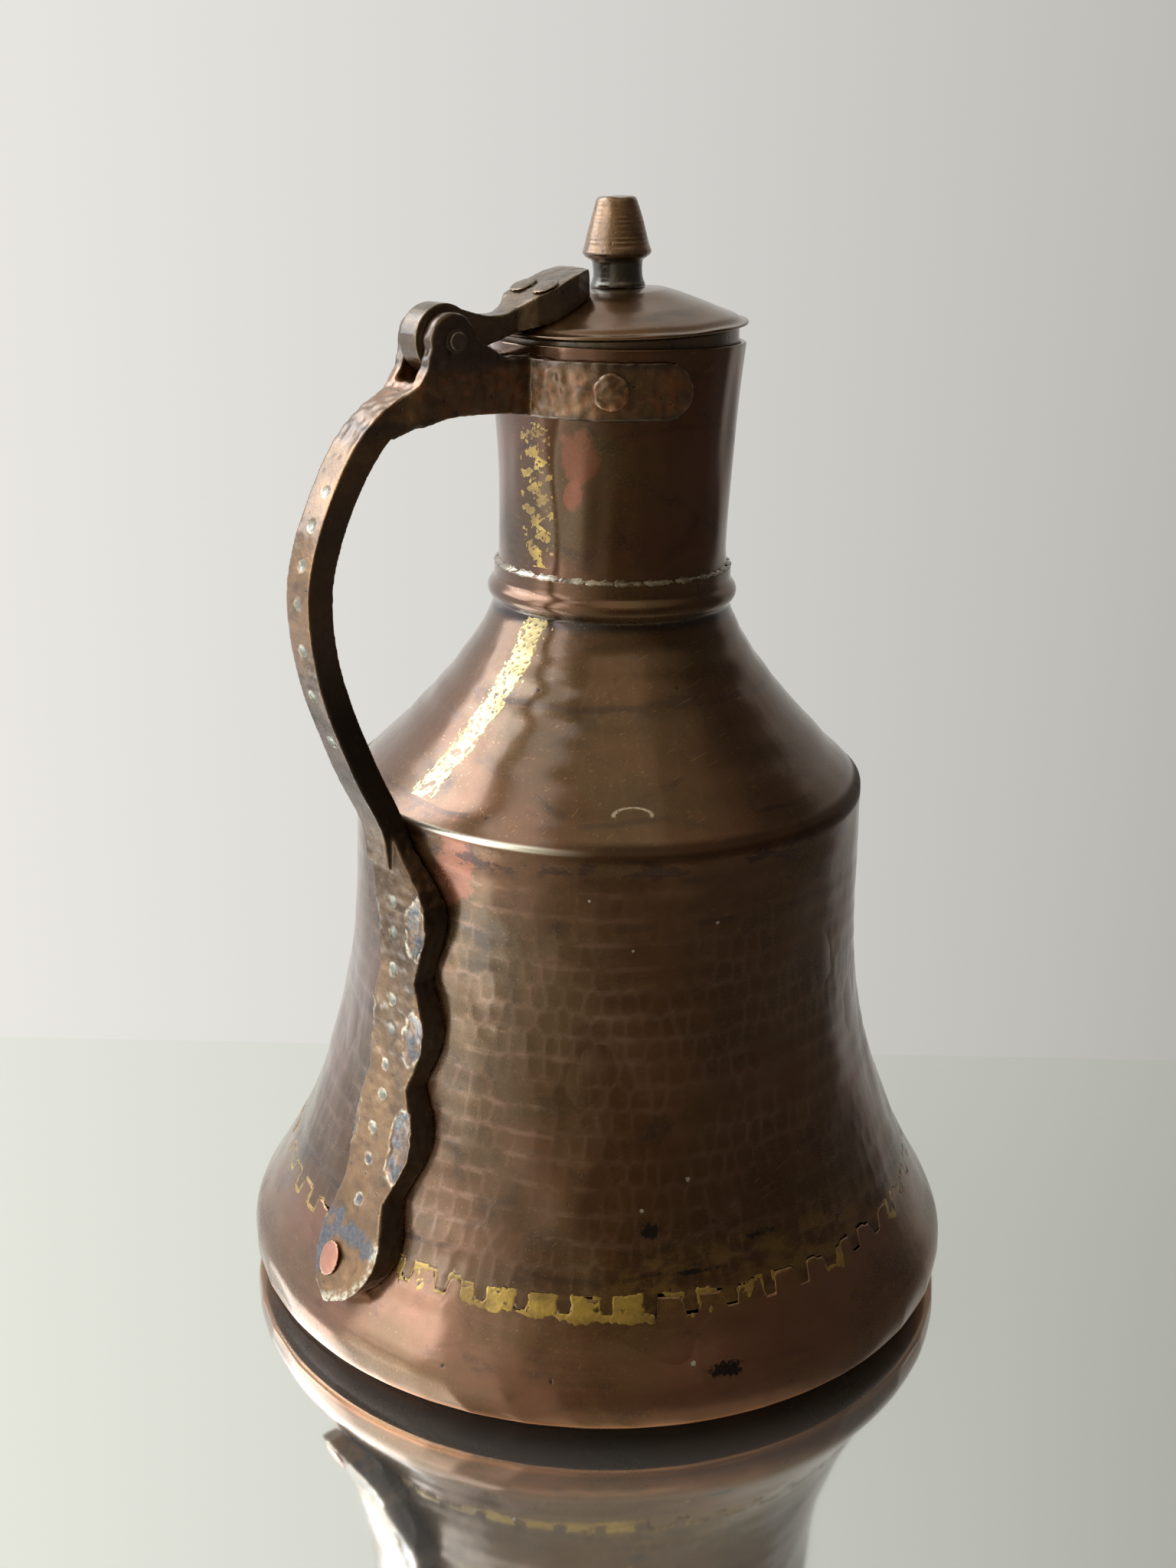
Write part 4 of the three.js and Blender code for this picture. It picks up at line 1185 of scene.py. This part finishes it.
def strap_marks(board, here, height, colour):
    """Dots, scoops, solder and bright edges of the handle, from the masks on its mesh."""
    speckle = board.blotches(here, 1.5, 0.4, 0.62, 4, 0.7)
    low = 1 - board.ease(height, *SLATE_DOTS_TOP)
    dot = board.paint(DOT_GREY, (low, SLATE), (speckle * 0.35, SOLDER_GREY))
    ochre = board.blotches(here, 5, 0.42, 0.6, 3, 0.6) * 0.45
    floor = board.paint(SLATE, (speckle * 0.4, SOLDER_GREY), (ochre, OCHRE))
    grey = board.paint(SLATE, (speckle * 0.25, SOLDER_GREY))
    rims = board.mask("bright_rims") * board.blotches(here, 2.4, 0.4, 0.62) * 0.75
    return board.paint(
        colour, (board.mask("dots") * 0.9, dot), (board.mask("scoops") * 0.92, floor),
        (board.mask("solder") * 0.85, grey), (rims, PALE_RIM_AND_HIGHLIGHT),
    )


def handle_wear(board, here, height, colour, crust_and_shade):
    """Grease on the grip, a warm glow and shade on the arms, and the marks of the strap."""
    glow = board.between(height, *ARM_GLOW) * board.blotches(here, 8, 0.45, 0.62, 4, 0.7)
    sheen = board.between(height + board.noise(here, 5, 4, 0.7) * 5, *ARM_SHEEN)
    shade = board.ease(height, *ARM_BOTTOM) * (0.75 - sheen * 0.45)
    colour = board.paint(
        colour,
        (board.between(height, *DARK_GRIP) * 0.62, crust_and_shade),
        (board.between(height, *GREASY_GRIP) * 0.5, DIRT_AND_SHADE),
        (glow * 0.5, ARM_ORANGE),
        (shade, crust_and_shade),
    )
    return strap_marks(board, here, height, colour)


def cast_metal(name, inks, side_crust_and_shade=0.0, on_handle=False, with_stem=False):
    """Cast and forged pieces, with inks for the metal, its tarnish, its crusted dark, which is also painted
    as shade on the side faces, and its worn edges.
    """
    metal, tarnish, crust_and_shade, worn = (ink(*shade) for shade in inks)
    material, board, here = new_material(name)
    skin = board.place(
        PATINA, Vector=here, Metal=metal, Tarnish=tarnish, Stain=crust_and_shade, Cloud_Size=26, Stain_Size=9,
        Stain_Amount=0.6,
    )
    edges = board.place(EDGES, Vector=here, Sharpness=0.07, Grain=2)
    pits = board.place(WEAR, Vector=here, Pit_Size=5, Pit_Share=0.22, Scratch_Size=11)["Pits"]
    height = board.parts(here)[2]
    facing = board.math("ABSOLUTE", board.parts(board.add("TexCoord")["Normal"])[1])
    # Faces turned along Y are darkened, partly as crusted dark and partly as painted shade, less so from 320
    # mm up to 350 mm.
    sides = board.ease(facing, 0.55, 0.85) * (1 - board.ease(height, *FORK_BOTTOM) * 0.7)
    # Hollows are darkened from how the surface bends.
    colour = board.paint(
        skin["Color"], (sides * side_crust_and_shade, crust_and_shade), (edges["Worn"] * 0.8, worn), (edges["Dirt"] * 0.8, DIRT_AND_SHADE),
        (pits * 0.7, DIRT_AND_SHADE),
    )
    shine, coat = 0.28, COAT
    if with_stem:
        shine = 0.17
        colour = board.paint(colour, ((1 - board.ease(height, *STEM_TOP)) * 0.85, STEM_GREEN))
    if on_handle:
        colour = handle_wear(board, here, height, colour, crust_and_shade)
        coat = COAT - board.between(height, *DARK_GRIP) * 0.5
    relief = board.noise(here, 1.6, 5, 0.65) * 0.22 + board.noise(here, 0.6) * 0.06 - pits * 0.2
    finish_metal(board, colour, skin["Dull"] * 0.18 + shine, relief, 0.8, coat)
    return material


wall_copper = body_metal(
    "hammered wall copper", ((112, 73, 38), (92, 65, 26), (50, 30, 18)), 0.4, 0.45,
    RED_SPOTS[:1] + RED_SPOTS[3:], DARK_SPOTS, True,
)
pan_copper = body_metal(
    "rosy foot copper", ((150, 102, 74), (122, 88, 52), (80, 52, 36)), 0.15, 0.2, (), DARK_SPOTS[1:2], True,
)
neck_copper = body_metal(
    "neck copper", ((110, 66, 34), (92, 66, 28), (50, 30, 18)), 0, 0.3, RED_SPOTS[1:3],
)
lid_copper = body_metal("lid copper", ((122, 86, 52), (98, 74, 38), (58, 40, 26)), 0, 0)
brass_seam = brazing_metal("seam brass", ((208, 172, 78), (156, 124, 56)), 5)
pale_brass = brazing_metal("pale pitted brass", ((222, 202, 136), (180, 158, 96)), 3.4)
white_solder = brazing_metal("white solder", ((172, 160, 136), (112, 96, 72)), 2.2)
handle_bronze = cast_metal(
    "cast handle bronze", ((158, 118, 74), (118, 86, 48), (54, 42, 34), (186, 150, 104)), 0.75,
    on_handle=True,
)
dark_bronze = cast_metal("dark cast bronze", ((118, 94, 66), (92, 74, 50), (50, 41, 34), (178, 148, 98)), 0.1)
knob_bronze = cast_metal(
    "turned knob bronze", ((160, 122, 84), (124, 94, 62), (60, 46, 36), (176, 144, 104)), with_stem=True,
)
rivet_copper = cast_metal(
    "beaten rivet copper", ((216, 152, 124), (192, 130, 102), (120, 80, 62), (226, 176, 148)),
)
pin_iron = cast_metal("hinge pin iron", ((64, 53, 44), (52, 43, 37), (36, 30, 28), (112, 98, 82)))


def put(piece, body, slot, material, *nodes):
    """Gives a piece its finish and its body, and hides the solids that it stands for."""
    piece.data.materials.clear()
    piece.data.materials.append(material)
    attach(piece, body)
    if nodes:
        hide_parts(*nodes)
    return piece


put(body_wall(), "jug", "wall_copper", wall_copper, "body_shell")
put(foot_pan(), "jug", "base_copper", pan_copper, "base_pan")
put(neck_tube(), "jug", "neck_copper", neck_copper, "neck_tube")
put(dovetail_seam(), "jug", "cast_knob", brass_seam)
shoulder = strip_patch("shoulder_brass", (1, 13.5), (208 * MM, 277 * MM), 9 * MM, 0.16 * MM, shoulder_fill)
put(shoulder, "jug", "cast_knob", pale_brass)
neck = strip_patch("neck_brass", (11, 10), (294 * MM, 347 * MM), 8 * MM, 0.12 * MM, neck_fill)
put(neck, "jug", "cast_knob", brass_seam)
put(joint_solder(), "jug", "cast_knob", white_solder)
put(cast_handle(), "jug", "cast_handle", handle_bronze, "handle")
for side in ("near", "far"):
    arm_rivet, lid_rivet = "arm_rivet_" + side, "lid_strap_rivet_" + side
    beaten = recast_rivet("arm_rivet_beaten_" + side, arm_rivet, BEATEN_ROUGH)
    put(beaten, "jug", "rivet_copper", handle_bronze, arm_rivet)
    flattened = recast_rivet("lid_rivet_" + side, lid_rivet, BEATEN_FLAT)
    put(flattened, "lid", "cast_lid_strap", dark_bronze, lid_rivet)
put(oval_rivet("strap_foot_rivet", "foot_rivet"), "jug", "rivet_copper", rivet_copper, "foot_rivet")
put(lid_cover(), "lid", "lid_copper", lid_copper, "lid_cover")
put(lid_collar(), "lid", "lid_copper", dark_bronze, "lid_collar")
put(knob(), "lid", "cast_knob", knob_bronze, "lid_knob")
put(lid_strap_casting(), "lid", "cast_lid_strap", dark_bronze, "lid_strap")

for name, material in (
    ("hinge_pin", pin_iron), ("hinge_washer_near", pin_iron), ("hinge_washer_far", pin_iron),
    ("knob_washer", rivet_copper),
):
    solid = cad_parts[name]
    solid.data.materials.clear()
    solid.data.materials.append(material)


# Floor, light and camera

heading = math.radians(CAMERA_HEADING)
ahead = Vector((math.cos(heading), math.sin(heading), 0))
aside = Vector((ahead.y, -ahead.x, 0))

# The table top ends just behind the ewer, square to the camera's heading
TABLE_BEHIND = 166 * MM
TABLE_SIZE = 2.8
TABLE_SINK = 0.2 * MM
MIRROR_SINK = 9 * MM


def table_sheet(name, sink, material):
    corners = [
        ahead * (TABLE_BEHIND - TABLE_SIZE * nearer) + aside * (TABLE_SIZE * side)
        for nearer, side in ((0, 0.5), (0, -0.5), (1, -0.5), (1, 0.5))
    ]
    sheet = add_object(name, [(c.x, c.y, -sink) for c in corners], [(0, 1, 2, 3)])
    sheet.data.materials.append(material)


def mirror_glass():
    """The table's underside, which mirrors the room and keeps a little of the shadow."""
    material, board, _ = new_material("pale mirror glass")
    look = {"Base Color": ink(246, 250, 244), "Metallic": 0.95, "Roughness": 0.06}
    board.add("OutputMaterial", {0: board.add("BsdfPrincipled", look)[0]})
    return material


def clear_glass():
    """The table's upper side, clear but for a faint gloss."""
    material, board, _ = new_material("clear glass")
    gloss = board.add("BsdfGlossy", {"Color": ink(250, 252, 250), "Roughness": 0.05})[0]
    from_above = 1 - board.add("NewGeometry")["Backfacing"]
    share = board.add("Fresnel", {"IOR": 1.3})[0] * from_above
    mixed = board.add("MixShader", {0: share, 1: board.add("BsdfTransparent")[0], 2: gloss})[0]
    board.add("OutputMaterial", {0: mixed})
    return material


table_sheet("table_top", TABLE_SINK, clear_glass())
table_sheet("table_underside", MIRROR_SINK, mirror_glass())


# The lamps point at the middle of the ewer
LIT_PLACE = Vector((0, 0, 0.2))


def soft_light(name, turn, rise, away, size, power, colour=(1, 1, 1)):
    """A soft lamp: turn in degrees to the left of the camera as seen from the ewer, rise above the table."""
    across, up = math.radians(turn), math.radians(rise)
    way = -ahead * math.cos(across) - aside * math.sin(across)
    lamp = bpy.data.lights.new(name, "AREA")
    lamp.shape = "RECTANGLE"
    lamp.size, lamp.size_y = size
    lamp.energy = power
    lamp.color = colour
    light = in_scene(name, lamp)
    light.location = LIT_PLACE + (way * math.cos(up) + Vector((0, 0, math.sin(up)))) * away
    light.rotation_euler = (LIT_PLACE - light.location).to_track_quat("-Z", "Y").to_euler()


soft_light("window", 62, 26, 1.7, (0.9, 1.1), 5.5, (0.86, 0.92, 1))
soft_light("window_top", 72, 54, 1.7, (0.9, 0.9), 3.6, (0.88, 0.93, 1))
soft_light("window_foot", 64, 4, 1.7, (0.8, 0.5), 1.6)
soft_light("side_window", 102, 34, 1.7, (1.0, 1.3), 14, (0.88, 0.93, 1))
soft_light("back_window", 118, 47, 1.7, (0.9, 0.9), 6, (0.84, 0.91, 1))
soft_light("ceiling", -5, 58, 1.8, (1.1, 0.9), 0.9, (1, 0.88, 0.68))

# The room's colour round the ewer, by degrees to the left of the camera: dim in front, pale behind and at the
# window
ROOM_RING = (
    (-180, (0.66, 0.65, 0.62)), (-164, (0.52, 0.51, 0.48)), (-150, (0.36, 0.35, 0.33)),
    (-126, (0.3, 0.29, 0.28)), (-117, (0.07, 0.062, 0.058)), (-45, (0.055, 0.044, 0.038)),
    (0, (0.11, 0.08, 0.048)), (22, (0.4, 0.36, 0.28)), (40, (0.95, 0.92, 0.86)), (62, (0.95, 0.94, 0.93)),
    (90, (0.82, 0.87, 0.98)), (112, (0.8, 0.83, 0.9)), (135, (0.8, 0.79, 0.8)), (158, (0.84, 0.82, 0.78)),
    (180, (0.66, 0.65, 0.62)),
)
CEILING = (0.34, 0.29, 0.21, 1)


def room_light():
    world = bpy.data.worlds.new("room")
    bpy.context.scene.world = world
    world.use_nodes = True
    room = Board(world.node_tree)
    room.tree.nodes.clear()
    way = room.add("TexCoord")["Generated"]
    left, front = (
        room.add("VectorMath", {0: way, 1: tuple(-axis)}, operation="DOT_PRODUCT")["Value"]
        for axis in (aside, ahead)
    )
    turn = room.math("ARCTAN2", left, front)
    ramp = room.add("ValToRGB", {0: room.add("MapRange", {0: turn, 1: -math.pi, 2: math.pi})[0]})
    stops = ramp.node.color_ramp.elements
    while len(stops) < len(ROOM_RING):
        stops.new(0.5)
    for stop, (degrees, colour) in zip(stops, ROOM_RING):
        stop.position = (degrees + 180) / 360
        stop.color = colour + (1,)
    overhead = room.parts(way)[2] + front * 0.35
    glow = room.paint(ramp[0], (room.ease(overhead, 0.6, 1), CEILING))
    room.add("OutputWorld", {0: room.add("Background", {"Color": glow, "Strength": 1.0})[0]})


room_light()

camera_data = bpy.data.cameras.new("camera")
camera_data.lens = CAMERA_LENS
camera_data.sensor_fit = "VERTICAL"
camera_data.sensor_height = 36
camera_data.clip_start = 0.05
camera = in_scene("camera", camera_data)
dip = math.radians(CAMERA_DIP)
forward = ahead * math.cos(dip) - Vector((0, 0, math.sin(dip)))
upward = aside.cross(forward)
roll = math.radians(CAMERA_ROLL)
level = aside * math.cos(roll) + upward * math.sin(roll)
head = -aside * math.sin(roll) + upward * math.cos(roll)
pose = Matrix((level, head, -forward)).transposed().to_4x4()
camera.matrix_world = Matrix.Translation(CAMERA_PLACE) @ pose
bpy.context.scene.camera = camera
bpy.context.scene.view_settings.view_transform = "Standard"
